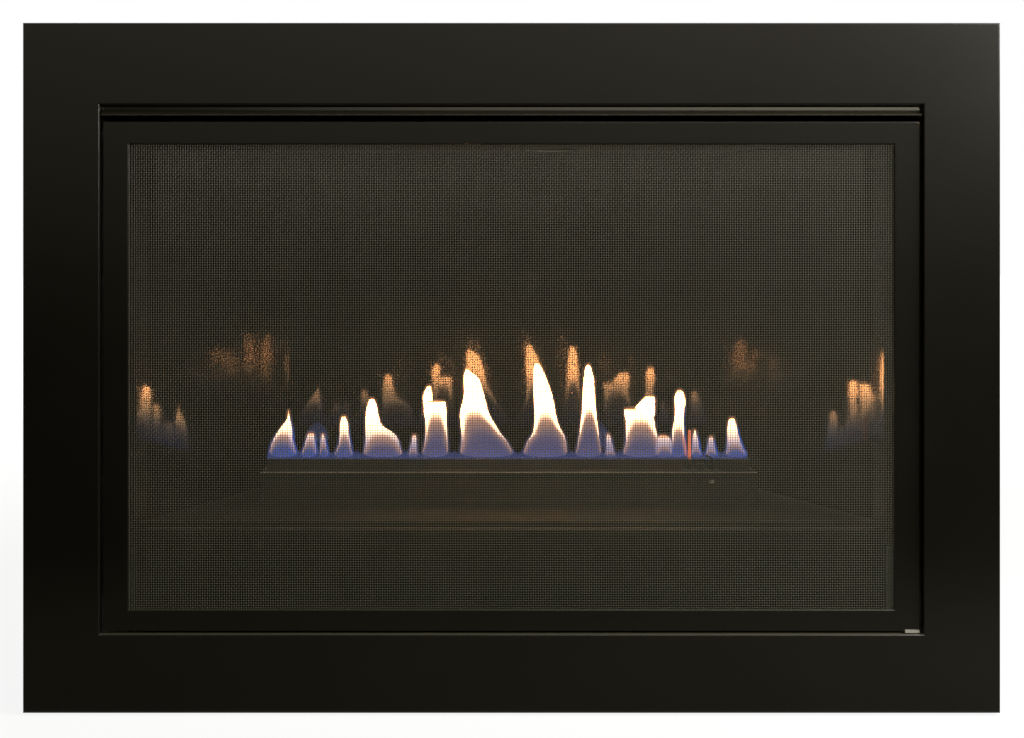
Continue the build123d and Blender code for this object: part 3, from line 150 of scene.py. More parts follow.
hottest = add("MapRange", {"Value": ragged, "From Min": burner_top - 0.002, "From Max": burner_top + 0.012})
near_burner = add("Math", {0: height.outputs["Z"], 1: cool_above}, operation="LESS_THAN")
blued = add("Math", {0: hottest, 1: near_burner}, operation="MULTIPLY")
tinted = add("Mix", {0: blued, 6: straw, 7: linear("#4a4a63")}, data_type="RGBA")
cool = add("Mix", {0: near_burner, 6: linear("#bdbab4"), 7: tinted}, data_type="RGBA")
brushed_rough = add("MapRange", {"Value": brushing, "To Min": 0.24, "To Max": 0.42})
brushed_bump = add("Bump", {"Strength": 0.1, "Distance": 0.0001, "Height": brushing})
from_flue = add("Mapping", {"Vector": place, "Location": (-flue_middle[0], -flue_middle[1], 0.0),
                            "Scale": (1.0, 1.0, 0.0)})
flue_distance = add("VectorMath", {0: from_flue}, operation="LENGTH")
# Inside the exhaust collar: coloured near black, matt and not metallic.
in_flue = add("Math", {0: flue_distance, 1: flue_inside}, operation="LESS_THAN")
flue_inside_dark = add("Mix", {0: in_flue, 6: cool, 7: linear("#0d0c0b")}, data_type="RGBA")
flue_inside_rough = add("MapRange", {"Value": in_flue, "To Min": brushed_rough, "To Max": 0.95})
bare = add("Math", {0: 1.0, 1: in_flue}, operation="SUBTRACT")
stainless = add("BsdfPrincipled", {"Base Color": flue_inside_dark, "Metallic": bare, "Roughness": flue_inside_rough,
                                   "Normal": brushed_bump})
dress(brushed_stainless, stainless, "exhaust_collar", "intake_collar", "mixing_tube", "air_shutter")

# ---------------------------------------------------------------------------
# Ribbon burner and pilot: a stainless box with a row of slots in its top, darkened all over by years of firing.
# The oxide is a soft brown black with blue and rust clouds of 12 mm, and hardly glossy.
fired_stainless, add = new_finish("fired_dark_stainless_steel")
place = add("TexCoord", {}).outputs["Object"]
clouds = add("TexNoise", {"Vector": place, "Scale": per_metre(12), "Detail": 4.0})
scale_grain = add("TexNoise", {"Vector": place, "Scale": per_metre(0.7), "Detail": 3.0})
cloud_share = add("MapRange", {"Value": clouds, "From Min": 0.38, "From Max": 0.66})
fired_colour = add("Mix", {0: cloud_share, 6: linear("#2b2b33"), 7: linear("#3d3029")}, data_type="RGBA")
fired_rough = add("MapRange", {"Value": scale_grain, "To Min": 0.45, "To Max": 0.7})
fired_bump = add("Bump", {"Strength": 0.2, "Distance": 0.0001, "Height": scale_grain})
fired = add("BsdfPrincipled", {"Base Color": fired_colour, "Metallic": 0.6, "Roughness": fired_rough,
                               "Normal": fired_bump})
dress(fired_stainless, fired, "ribbon_burner", "pilot_burner")

# ---------------------------------------------------------------------------
# Firebox front, wrap, floor, roof and the burner tray: 1.5 mm steel with a sprayed and baked heat-proof paint.
# It is dead matt, a warm near-black, with a fine dry grain of 0.5 mm and a chalky bloom where it runs hottest.
# On the tray's upper folds, next to the flames, a near-white line is painted on as a painted highlight, and the
# folds are smoother there.
tray_folds_from = 0.205
tray_folds_full = 0.22
heatproof_paint, add = new_finish("heatproof_matt_black_paint")
place = add("TexCoord", {}).outputs["Object"]
dry_grain = add("TexNoise", {"Vector": place, "Scale": per_metre(0.5), "Detail": 3.0, "Roughness": 0.7})
chalk = add("TexNoise", {"Vector": place, "Scale": per_metre(70), "Detail": 6.0, "Roughness": 0.65})
chalk_share = add("MapRange", {"Value": chalk, "From Min": 0.42, "From Max": 0.72})
paint_colour = add("Mix", {0: chalk_share, 6: linear("#0a0a09"), 7: linear("#12110f")}, data_type="RGBA")
fold = add("Bevel", {"Radius": 0.0011}, samples=4)
paint_flat = add("NewGeometry", {})
fold_bend = add("VectorMath", {0: fold, 1: paint_flat.outputs["Normal"]}, operation="DOT_PRODUCT")
fold_bend_share = add("MapRange", {"Value": fold_bend, "From Min": 0.985, "From Max": 0.9})
fold_side = add("SeparateXYZ", {"Vector": fold})
fold_up = add("MapRange", {"Value": fold_side.outputs["Z"], "From Min": 0.15, "From Max": 0.5})
height = add("SeparateXYZ", {"Vector": place})
near_flames = add("MapRange", {"Value": height.outputs["Z"], "From Min": tray_folds_from,
                               "From Max": tray_folds_full})
# Painted highlight: near-white on the tray's folds that look up, just below the flames.
upward_fold_share = add("Math", {0: fold_bend_share, 1: fold_up}, operation="MULTIPLY")
tray_fold_highlight = add("Math", {0: upward_fold_share, 1: near_flames}, operation="MULTIPLY")
paint_with_fold_highlight = add("Mix", {0: tray_fold_highlight, 6: paint_colour, 7: linear("#f0ead8")}, data_type="RGBA")
paint_dry = add("MapRange", {"Value": dry_grain, "To Min": 0.62, "To Max": 0.86})
paint_rough = add("MapRange", {"Value": tray_fold_highlight, "To Min": paint_dry, "To Max": 0.45})
paint_bump = add("Bump", {"Strength": 0.25, "Distance": 0.0001, "Height": dry_grain, "Normal": fold})
paint = add("BsdfPrincipled", {"Base Color": paint_with_fold_highlight, "Roughness": paint_rough, "Specular IOR Level": 0.25,
                               "Normal": paint_bump})
dress(heatproof_paint, paint, "firebox_front", "firebox_wrap", "firebox_floor", "firebox_top", "burner_tray")

# ---------------------------------------------------------------------------
# Liner panels: steel sheet under fired black porcelain enamel, hung on the firebox walls behind the flames.
# Fired enamel is glass: IOR 1.52, nearly a mirror, with a slow ripple of about 90 mm that bends reflections.
liner_enamel, add = new_finish("glossy_black_porcelain_enamel")
place = add("TexCoord", {}).outputs["Object"]
ripple = add("TexNoise", {"Vector": place, "Scale": per_metre(90), "Detail": 0.0})
soot = add("TexNoise", {"Vector": place, "Scale": per_metre(160), "Detail": 5.0})
enamel_colour = add("Mix", {0: soot, 6: linear("#070708"), 7: linear("#121110")}, data_type="RGBA")
enamel_rough = add("MapRange", {"Value": soot, "To Min": 0.05, "To Max": 0.1})
enamel_bump = add("Bump", {"Strength": 0.05, "Distance": 0.004, "Height": ripple})
enamel = add("BsdfPrincipled", {"Base Color": enamel_colour, "Roughness": enamel_rough, "IOR": 1.52,
                                "Normal": enamel_bump})
dress(liner_enamel, enamel, "left_liner", "right_liner", "back_liner")

# ---------------------------------------------------------------------------
# Gas orifice: free-cutting brass, turned from bar, with tool rings about 0.4 mm apart along the jet's axis.
# New brass is a warm yellow that browns a little in the grooves.
turned_brass, add = new_finish("turned_brass")
place = add("TexCoord", {}).outputs["Object"]
rings = add("TexWave", {"Vector": place, "Scale": per_metre(0.4) / (2 * math.pi), "Distortion": 0.4,
                        "Detail": 1.0}, bands_direction="X")
tarnish = add("TexNoise", {"Vector": place, "Scale": per_metre(5), "Detail": 3.0})
brass_colour = add("Mix", {0: tarnish, 6: linear("#d2b06a"), 7: linear("#a98345")}, data_type="RGBA")
brass_rough = add("MapRange", {"Value": rings.outputs["Fac"], "To Min": 0.16, "To Max": 0.34})
brass_bump = add("Bump", {"Strength": 0.15, "Distance": 0.0001, "Height": rings.outputs["Fac"]})
brass = add("BsdfPrincipled", {"Base Color": brass_colour, "Metallic": 1.0, "Roughness": brass_rough,
                               "Normal": brass_bump})
dress(turned_brass, brass, "gas_orifice")

# ---------------------------------------------------------------------------
# Flame sensor: a heat-resisting steel rod in a glazed sleeve, beside the pilot.
# Where the rod stands in the flames, above the burner's top, it glows a dull orange red.
glow_from = 0.237
glow_full = 0.244
sensor_steel, add = new_finish("glowing_heat_resisting_steel")
place = add("TexCoord", {}).outputs["Object"]
height = add("SeparateXYZ", {"Vector": place})
scale_spots = add("TexNoise", {"Vector": place, "Scale": per_metre(3), "Detail": 4.0})
oxide = add("Mix", {0: scale_spots, 6: linear("#45403a"), 7: linear("#2f2823")}, data_type="RGBA")
oxide_rough = add("MapRange", {"Value": scale_spots, "To Min": 0.4, "To Max": 0.65})
rod = add("BsdfPrincipled", {"Base Color": oxide, "Metallic": 1.0, "Roughness": oxide_rough})
glow_colour = add("Mix", {0: scale_spots, 6: linear("#ff9870"), 7: linear("#e8643a")}, data_type="RGBA")
glow = add("Emission", {"Color": glow_colour, "Strength": 1.5})
in_flame = add("MapRange", {"Value": height.outputs["Z"], "From Min": glow_from, "From Max": glow_full,
                            "To Max": 0.9})
rod_or_glow = add("MixShader", {0: in_flame, 1: rod, 2: glow})
dress(sensor_steel, rod_or_glow, "flame_sensor")

# ---------------------------------------------------------------------------
# Ignition electrode: a white alumina insulator, glazed, round a bare wire that stands up at the burner's edge.
# Glazed alumina is a warm white under a clear coat, with faint brown smoke near its tip.
spark_wire_from = 0.226
smoked_from = 0.196
glazed_alumina, add = new_finish("glazed_alumina_and_spark_wire")
place = add("TexCoord", {}).outputs["Object"]
height = add("SeparateXYZ", {"Vector": place})
smoke = add("TexNoise", {"Vector": place, "Scale": per_metre(6), "Detail": 4.0})
up_the_tip = add("MapRange", {"Value": height.outputs["Z"], "From Min": smoked_from,
                              "From Max": spark_wire_from, "To Max": 1.6})
smoked = add("Math", {0: smoke, 1: up_the_tip}, operation="MULTIPLY")
alumina_colour = add("Mix", {0: smoked, 6: linear("#e9e6dd"), 7: linear("#3f352b")}, data_type="RGBA")
is_wire = add("Math", {0: height.outputs["Z"], 1: spark_wire_from}, operation="GREATER_THAN")
electrode_colour = add("Mix", {0: is_wire, 6: alumina_colour, 7: linear("#6d625a")}, data_type="RGBA")
glaze_rough = add("MapRange", {"Value": smoke, "To Min": 0.18, "To Max": 0.32})
alumina = add("BsdfPrincipled", {"Base Color": electrode_colour, "Metallic": is_wire,
                                 "Roughness": glaze_rough, "Coat Weight": 0.4, "Coat Roughness": 0.08})
dress(glazed_alumina, alumina, "ignition_electrode")

# ---------------------------------------------------------------------------
# Gas valve, burner feed tube and blower wheel: aluminium, die-cast or drawn, left bare.
# Die casting leaves a fine sand-like skin of 0.4 mm grain, drawn at 0.7 mm, and soft flow marks.
die_cast_aluminium, add = new_finish("die_cast_aluminium")
place = add("TexCoord", {}).outputs["Object"]
skin = add("TexNoise", {"Vector": place, "Scale": per_metre(0.7), "Detail": 3.0, "Roughness": 0.6})
flow_marks = add("TexNoise", {"Vector": place, "Scale": per_metre(16), "Detail": 4.0, "Distortion": 0.8})
cast_colour = add("Mix", {0: flow_marks, 6: linear("#9c9e9f"), 7: linear("#c0c1c1")}, data_type="RGBA")
cast_rough = add("MapRange", {"Value": flow_marks, "To Min": 0.42, "To Max": 0.6})
cast_edge = add("Bevel", {"Radius": 0.0008}, samples=4)
cast_bump = add("Bump", {"Strength": 0.25, "Distance": 0.0002, "Height": skin, "Normal": cast_edge})
cast = add("BsdfPrincipled", {"Base Color": cast_colour, "Metallic": 1.0, "Roughness": cast_rough,
                              "Normal": cast_bump})
dress(die_cast_aluminium, cast, "gas_valve", "burner_feed_tube", "blower_wheel")

# ---------------------------------------------------------------------------
# Knobs, dial, rocker, switch and igniter bodies and the lead's gland: injection-moulded black nylon.
# The mould is spark-eroded, so the skin has an even fine pebble of 0.3 mm, drawn at 0.6 mm, rubbed at its edges.
moulded_black, add = new_finish("moulded_black_nylon")
place = add("TexCoord", {}).outputs["Object"]
pebble = add("TexVoronoi", {"Vector": place, "Scale": per_metre(0.6)})
rubbed = add("TexNoise", {"Vector": place, "Scale": per_metre(9), "Detail": 3.0})
nylon_colour = add("Mix", {0: rubbed, 6: linear("#161617"), 7: linear("#232324")}, data_type="RGBA")
nylon_rough = add("MapRange", {"Value": rubbed, "To Min": 0.36, "To Max": 0.54})
nylon_edge = add("Bevel", {"Radius": 0.0006}, samples=4)
nylon_bump = add("Bump", {"Strength": 0.15, "Distance": 0.0001, "Height": pebble, "Normal": nylon_edge})
nylon = add("BsdfPrincipled", {"Base Color": nylon_colour, "Roughness": nylon_rough, "IOR": 1.53,
                               "Normal": nylon_bump})
dress(moulded_black, nylon, "control_knob", "flame_knob", "speed_dial", "switch_rocker", "switch_housing",
      "igniter_body", "power_gland")

# ---------------------------------------------------------------------------
# Igniter button: red ABS, moulded in one with its stem and snapped into the igniter's body.
# The mould is polished, so it is glossy, and a little duller where a thumb presses.
polished_red, add = new_finish("polished_red_abs")
place = add("TexCoord", {}).outputs["Object"]
thumbed = add("TexNoise", {"Vector": place, "Scale": per_metre(5), "Detail": 3.0})
red_colour = add("Mix", {0: thumbed, 6: linear("#9c1a16"), 7: linear("#b3241d")}, data_type="RGBA")
red_rough = add("MapRange", {"Value": thumbed, "To Min": 0.16, "To Max": 0.36})
red_plastic = add("BsdfPrincipled", {"Base Color": red_colour, "Roughness": red_rough, "IOR": 1.53})
dress(polished_red, red_plastic, "igniter_button")

# ---------------------------------------------------------------------------
# Glass gasket: knitted glass-fibre rope pressed flat between the glass and the firebox front.
# Its yarns are 1.2 mm thick, drawn at 2 mm, off-white gone grey, and so fuzzy that it has no gloss.
yarn = 2.0
knitted_rope, add = new_finish("knitted_glass_fibre_rope")
place = add("TexCoord", {}).outputs["Object"]
slant = add("Mapping", {"Vector": place, "Rotation": (0.0, math.radians(35), 0.0), "Scale": (1.0, 1.0, 0.6)})
stitches = add("TexVoronoi", {"Vector": slant, "Scale": per_metre(yarn)})
fuzz = add("TexNoise", {"Vector": place, "Scale": per_metre(0.5), "Detail": 3.0})
rope_colour = add("Mix", {0: stitches, 6: linear("#8f8c86"), 7: linear("#5a5854")}, data_type="RGBA")
rope_rough = add("MapRange", {"Value": fuzz, "To Min": 0.85, "To Max": 1.0})
fuzz_bump = add("Bump", {"Strength": 0.3, "Distance": 0.0002, "Height": fuzz})
rope_bump = add("Bump", {"Strength": 0.7, "Distance": 0.0006, "Height": stitches, "Normal": fuzz_bump},
                invert=True)
rope = add("BsdfPrincipled", {"Base Color": rope_colour, "Roughness": rope_rough, "Normal": rope_bump})
dress(knitted_rope, rope, "glass_gasket")

# ---------------------------------------------------------------------------
# Glass pane: clear ceramic glass, drawn flat and polished, IOR 1.54 with a trace of amber.
# Lamps reach the firebox through it. A thin film of haze lies on its inside in soft clouds.
ceramic_glass, add = new_finish("clear_ceramic_glass")
place = add("TexCoord", {}).outputs["Object"]
haze = add("TexNoise", {"Vector": place, "Scale": per_metre(120), "Detail": 4.0})
haze_rough = add("MapRange", {"Value": haze, "To Min": 0.0, "To Max": 0.012})
glass_colour = add("Mix", {0: haze, 6: linear("#fdfcf8"), 7: linear("#f8f5ee")}, data_type="RGBA")
clear = add("BsdfPrincipled", {"Base Color": glass_colour, "Roughness": haze_rough, "IOR": 1.54,
                               "Transmission Weight": 1.0})
open_to_light = add("BsdfTransparent", {"Color": linear("#f8f6f0")})
ray = add("LightPath", {})
not_seen = add("Math", {0: ray.outputs["Is Shadow Ray"], 1: ray.outputs["Is Diffuse Ray"]},
               operation="MAXIMUM")
pane_shader = add("MixShader", {0: not_seen, 1: clear, 2: open_to_light})
dress(ceramic_glass, pane_shader, "glass_pane")

# ---------------------------------------------------------------------------
# Surround, deflector, glass frame, access panel, screen frame and retainers: folded steel, satin black.
# Polyester powder coat, baked: a very dark olive black with a close orange peel of 1.6 mm, drawn at 2.2 mm.
# Along the folds a thin paler line is painted on as a painted highlight, and faces that look up are painted paler,
# partly dust and partly painted highlight.
orange_peel = 2.2
powder_coat, add = new_finish("satin_black_powder_coat")
place = add("TexCoord", {}).outputs["Object"]
peel = add("TexNoise", {"Vector": place, "Scale": per_metre(orange_peel), "Detail": 2.0})
dust = add("TexNoise", {"Vector": place, "Scale": per_metre(0.9), "Detail": 2.0, "Roughness": 0.7})
wiped = add("TexNoise", {"Vector": place, "Scale": per_metre(210), "Detail": 4.0, "Distortion": 0.6})
coat_tone = add("Mix", {0: wiped, 6: linear("#090905"), 7: linear("#0e0d08")}, data_type="RGBA")
speck = add("MapRange", {"Value": dust, "From Min": 0.62, "From Max": 0.8, "To Max": 0.5})
coat_specked = add("Mix", {0: speck, 6: coat_tone, 7: linear("#211f17")}, data_type="RGBA")
round_edge = add("Bevel", {"Radius": 0.0009}, samples=4)
flat_normal = add("NewGeometry", {})
bend = add("VectorMath", {0: round_edge, 1: flat_normal.outputs["Normal"]}, operation="DOT_PRODUCT")
# Painted highlight: a paler line painted along the folds, where the bevel normal turns away from the face.
coat_fold_highlight = add("MapRange", {"Value": bend, "From Min": 0.985, "From Max": 0.88, "To Max": 0.8})
coat_with_fold_highlight = add("Mix", {0: coat_fold_highlight, 6: coat_specked, 7: linear("#5e5b4b")}, data_type="RGBA")
facing = add("SeparateXYZ", {"Vector": flat_normal.outputs["Normal"]})
# Partly dust, partly painted highlight: faces that look up are painted paler, as if lit from above.
up_face_dust_and_highlight = add("MapRange", {"Value": facing.outputs["Z"], "From Min": 0.8, "From Max": 0.95, "To Max": 0.5})
coat_dust_and_top_highlight = add("Mix", {0: up_face_dust_and_highlight, 6: coat_with_fold_highlight, 7: linear("#5c5846")}, data_type="RGBA")
coat_rough = add("MapRange", {"Value": wiped, "To Min": 0.18, "To Max": 0.28})
coat_bump = add("Bump", {"Strength": 0.12, "Distance": 0.0002, "Height": peel, "Normal": round_edge})
coat = add("BsdfPrincipled", {"Base Color": coat_dust_and_top_highlight, "Roughness": coat_rough, "IOR": 1.5, "Normal": coat_bump})
dress(powder_coat, coat, "surround_panel", "air_deflector", "glass_frame", "access_panel", "screen_frame",
      "screen_retainers")

# ---------------------------------------------------------------------------
# Screen magnets: four nickel-plated discs behind the frame's corners that hold the screen on.
# Nickel plate is a warm bright grey with a ground face under it.
nickel_plate, add = new_finish("nickel_plate")
place = add("TexCoord", {}).outputs["Object"]
ground = add("TexNoise", {"Vector": place, "Scale": per_metre(0.8), "Detail": 3.0})
nickel_colour = add("Mix", {0: ground, 6: linear("#bdb7aa"), 7: linear("#cdc8bd")}, data_type="RGBA")
nickel_rough = add("MapRange", {"Value": ground, "To Min": 0.12, "To Max": 0.3})
nickel = add("BsdfPrincipled", {"Base Color": nickel_colour, "Metallic": 1.0, "Roughness": nickel_rough})
dress(nickel_plate, nickel, "screen_magnets")

# ---------------------------------------------------------------------------
# Pull tab: the end of a strip of 304 stainless, bead-blasted, that sticks out under the screen to lift it by.
# Blasting leaves an even silky grey of 0.15 mm pits, drawn at 0.5 mm, with no direction in its shine.
blasted_stainless, add = new_finish("bead_blasted_stainless_steel")
place = add("TexCoord", {}).outputs["Object"]
pits = add("TexNoise", {"Vector": place, "Scale": per_metre(0.5), "Detail": 2.0})
handled = add("TexNoise", {"Vector": place, "Scale": per_metre(9), "Detail": 3.0})
blasted_colour = add("Mix", {0: handled, 6: linear("#d8d6cc"), 7: linear("#bdbab0")}, data_type="RGBA")
blasted_rough = add("MapRange", {"Value": handled, "To Min": 0.5, "To Max": 0.62})
blasted_bump = add("Bump", {"Strength": 0.3, "Distance": 0.0001, "Height": pits})
blasted = add("BsdfPrincipled", {"Base Color": blasted_colour, "Metallic": 1.0, "Roughness": blasted_rough,
                                 "Normal": blasted_bump})
dress(blasted_stainless, blasted, "screen_pull_tab")

# ---------------------------------------------------------------------------
# Screen cloth: plain-woven black steel wire, ten wires to the inch, clamped in the screen frame.
# Upright and crosswise wires of 0.6 mm pass over and under each other, so each one rises and dips in turn. Here
# the wires lie straight, and the rise and dip is a bump with painted highlight and shade.
wire_pitch = 0.00254
wire_radius = 0.0003
layer_offset = 0.00022          # the two layers of wire lie this far before and behind the cloth's middle
cloth_low, cloth_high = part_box("screen_cloth")
cloth_middle = (cloth_low + cloth_high) / 2
cloth_size = cloth_high - cloth_low


def lay_wires(name, length, turn, first, step, count, material):
    """Lays one drawn wire and repeats it across the frame as the loom does."""
    bpy.ops.object.select_all(action="DESELECT")
    bpy.ops.mesh.primitive_cylinder_add(vertices=6, radius=wire_radius, depth=length, location=first,
                                        rotation=turn)
    wire = bpy.context.object
    wire.name = name
    bpy.ops.object.transform_apply(location=True, rotation=True, scale=True)
    bpy.ops.object.shade_smooth_by_angle(angle=math.radians(70))
    loom = wire.modifiers.new("loom", "ARRAY")
    loom.use_relative_offset = False
    loom.use_constant_offset = True
    loom.constant_offset_displace = step
    loom.count = count
    bpy.ops.object.modifier_apply(modifier="loom")
    wire.data.materials.append(material)
    return wire


def drawn_wire(name, forward):
    """Black-oxide wire, painted a touch brighter where it would rise over its neighbour than where it would dip:
    painted highlight and shade of the weave on a straight wire.
    """
    material, add = new_finish(name)
    place = add("TexCoord", {}).outputs["Object"]
    start = add("Mapping", {"Vector": place, "Location": (-cloth_middle.x, 0.0, -cloth_middle.z)})
    axes = add("SeparateXYZ", {"Vector": start})
    turn_x = add("Math", {0: axes.outputs["X"], 1: math.pi / wire_pitch}, operation="MULTIPLY")
    turn_z = add("Math", {0: axes.outputs["Z"], 1: math.pi / wire_pitch}, operation="MULTIPLY")
    wave_x = add("Math", {0: turn_x}, operation="COSINE")
    wave_z = add("Math", {0: turn_z}, operation="COSINE")
    crimp = add("Math", {0: wave_x, 1: wave_z}, operation="MULTIPLY")
    rise = add("MapRange", {"Value": crimp, "From Min": -forward, "From Max": forward})
    draw_marks = add("TexNoise", {"Vector": place, "Scale": per_metre(40), "Detail": 4.0})
    oxide_tone = add("Mix", {0: draw_marks, 6: linear("#525140"), 7: linear("#666551")}, data_type="RGBA")
    # Painted highlight and shade: paler where the wire rises, near black where it dips.
    crimp_shaded_wire_colour = add("Mix", {0: rise, 6: linear("#2c2b21"), 7: oxide_tone}, data_type="RGBA")
    wire_rough = add("MapRange", {"Value": draw_marks, "To Min": 0.36, "To Max": 0.5})
    wire_bump = add("Bump", {"Strength": 0.6, "Distance": 0.0004, "Height": rise})
    oxide_black = add("BsdfPrincipled", {"Base Color": crimp_shaded_wire_colour, "Roughness": wire_rough, "IOR": 1.5,
                                         "Normal": wire_bump})
    dress(material, oxide_black)
    return material


across_count = int(cloth_size.x / wire_pitch / 2)
up_count = int(cloth_size.z / wire_pitch / 2)
first_upright = (cloth_middle.x - across_count * wire_pitch, cloth_middle.y - layer_offset, cloth_middle.z)
first_level = (cloth_middle.x, cloth_middle.y + layer_offset, cloth_middle.z - up_count * wire_pitch)
upright_wires = lay_wires("screen_wire_cloth", cloth_size.z, (0.0, 0.0, 0.0), first_upright,
                          (wire_pitch, 0.0, 0.0), 2 * across_count + 1,
                          drawn_wire("black_oxide_wire_upright", 1.0))
level_wires = lay_wires("level_wires", cloth_size.x, (0.0, math.pi / 2, 0.0), first_level,
                        (0.0, 0.0, wire_pitch), 2 * up_count + 1,
                        drawn_wire("black_oxide_wire_level", -1.0))
bpy.ops.object.select_all(action="DESELECT")
level_wires.select_set(True)
upright_wires.select_set(True)
bpy.context.view_layer.objects.active = upright_wires
bpy.ops.object.join()
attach(upright_wires, "screen")
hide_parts("screen_cloth")

# ---------------------------------------------------------------------------
# Flames: gas burning yellow over the ribbon burner. Each stands over a few ports, blue and thin at its foot,
# white where soot glows, orange at its edge and tip. Flames are no solid pieces, so they have no slot.
front_plane = -0.19125
flame_line = front_plane + 0.195
flame_depth = 0.006
edge_inset = 0.0004             # the smoothing of a ring makes up for it
narrowest = 0.0005
glow_width = 0.0024             # how far the thin outer gas reaches past the bright core
# name: (height in mm of the blue arch inside, [(height, left edge, right edge) in mm, from foot to tip])
flames = {
    "first_left": (23, [(1, -284, -246), (12, -282, -251), (20, -279, -253), (28, -275, -254), (36, -269, -255),
                        (42, -264, -256), (46, -261, -257), (50, -260, -258), (57, -259.6, -258.8)]),
    "second_left": (17, [(1, -246, -226), (9, -243, -226), (18, -240, -227), (26, -238, -228), (30, -236, -229)]),
    "third_left": (15, [(1, -223, -211), (9, -222, -213), (19, -222, -215), (26, -221, -216), (29, -220, -218)]),
    "fourth_left": (22, [(1, -207, -181), (8, -204, -184), (15, -201, -185), (24, -199, -187), (38, -199, -188),
                         (46, -198, -190), (50, -196, -192)]),
    "shouldered": (22, [(1, -172, -122), (9, -171, -125), (18, -170, -127), (26, -169, -130), (32, -169, -137),
                        (37, -169, -148), (44, -169, -151), (57, -168, -154), (65, -166, -155), (71, -163, -159)]),
    "small_middle_left": (9, [(1, -119, -106), (9, -117, -107), (18, -115, -107), (24, -114, -108),
                              (28, -112, -109)]),
    "square_top": (41, [(1, -104, -70), (12, -101, -70), (24, -98, -71), (42, -98, -72), (59, -100, -72),
                        (66, -100, -73), (68, -99, -75)]),
    "spike": (30, [(45, -99, -89), (57, -100, -89), (68, -101, -89), (75, -101, -89), (81, -98, -90),
                   (86, -95, -91)]),
    "middle_left": (44, [(1, -60, 11), (11, -57, 5), (21, -56, 0), (29, -56, -8), (38, -57, -13), (47, -58, -19),
                         (55, -58, -23), (64, -55, -25), (76, -52, -28), (86, -53, -31), (96, -53, -34),
                         (101, -52, -44), (106, -50, -48)]),
    "tall": (41, [(1, 15, 72), (11, 18, 70), (20, 21, 70), (28, 28, 67), (37, 30, 61), (50, 31, 57), (66, 30, 55),
                  (84, 29, 50), (98, 29, 44), (109, 30, 39), (113, 32, 35)]),
    "slender": (46, [(1, 77, 111), (11, 80, 110), (21, 82, 109), (33, 84, 107), (50, 86, 105), (66, 87, 103),
                     (84, 88, 103), (97, 89, 101), (105, 90, 99), (111, 93, 96)]),
    "small_middle_right": (7, [(1, 113, 129), (9, 115, 125), (19, 115, 123), (26, 116, 121), (29, 117, 119)]),
    "wide": (35, [(1, 133, 181), (11, 136, 180), (21, 138, 179), (29, 138, 176), (41, 138, 174), (50, 137, 172),
                  (56, 136, 165), (59, 138, 150)]),
    "wide_hump": (20, [(45, 146, 174), (57, 148, 174), (61, 150, 174), (66, 155, 174), (71, 160, 174),
                       (74, 165, 171)]),
    "saddle": (12, [(1, 173, 196), (11, 173, 194), (20, 174, 194), (25, 176, 191), (27, 179, 186)]),
    "twin_right": (28, [(1, 189, 210), (11, 191, 210), (21, 193, 209), (33, 193, 208), (45, 196, 207),
                        (57, 197, 208), (65, 196, 210), (72, 196, 209), (78, 198, 207), (81, 201, 204)]),
    "third_right": (10, [(1, 215, 230), (11, 217, 226), (20, 217, 225), (28, 218, 223), (34, 219, 221)]),
    "second_right": (9, [(1, 232, 248), (9, 234, 245), (16, 235, 244), (22, 236, 243), (26, 238, 241)]),
    "first_right": (14, [(1, 255, 284), (9, 257, 279), (19, 258, 275), (28, 258, 272), (38, 258, 270),
                         (45, 260, 268), (48, 263, 266)]),
}


def burning_gas(name):
    """Glowing gas: light of the colour painted on the flame, let through where the flame is thin."""
    material, add = new_finish(name)
    paint = add("VertexColor", {}, layer_name="burning")
    light = add("Emission", {"Color": paint})
    through = add("BsdfTransparent", {"Color": (1.0, 1.0, 1.0, 1.0)})
    thin_or_thick = add("MixShader", {0: paint.outputs["Alpha"], 1: through, 2: light})
    dress(material, thin_or_thick)
    return material


def eased(value, low, high):
    """0 below low, 1 above high, and a smooth climb between them."""
    share = min(max((value - low) / (high - low), 0.0), 1.0)
    return share * share * (3 - 2 * share)


def brightened(first, second, share):
    """One glow turned into a brighter or dimmer one in even steps, as the eye sees them."""
    return tuple(a * (b / a) ** share for a, b in zip(first, second))


def across_at(levels, height):
    """The middle and half width of a flame at a height, in mm."""
    if height <= levels[0][0]:
        below = above = levels[0]
    elif height >= levels[-1][0]:
        below = above = levels[-1]
    else:
        above = next(level for level in levels if level[0] > height)
        below = levels[levels.index(above) - 1]
    share = 0.0 if above is below else (height - below[0]) / (above[0] - below[0])
    left = below[1] + (above[1] - below[1]) * share
    right = below[2] + (above[2] - below[2]) * share
    return (left + right) / 2, max((right - left) / 2, 0.5)


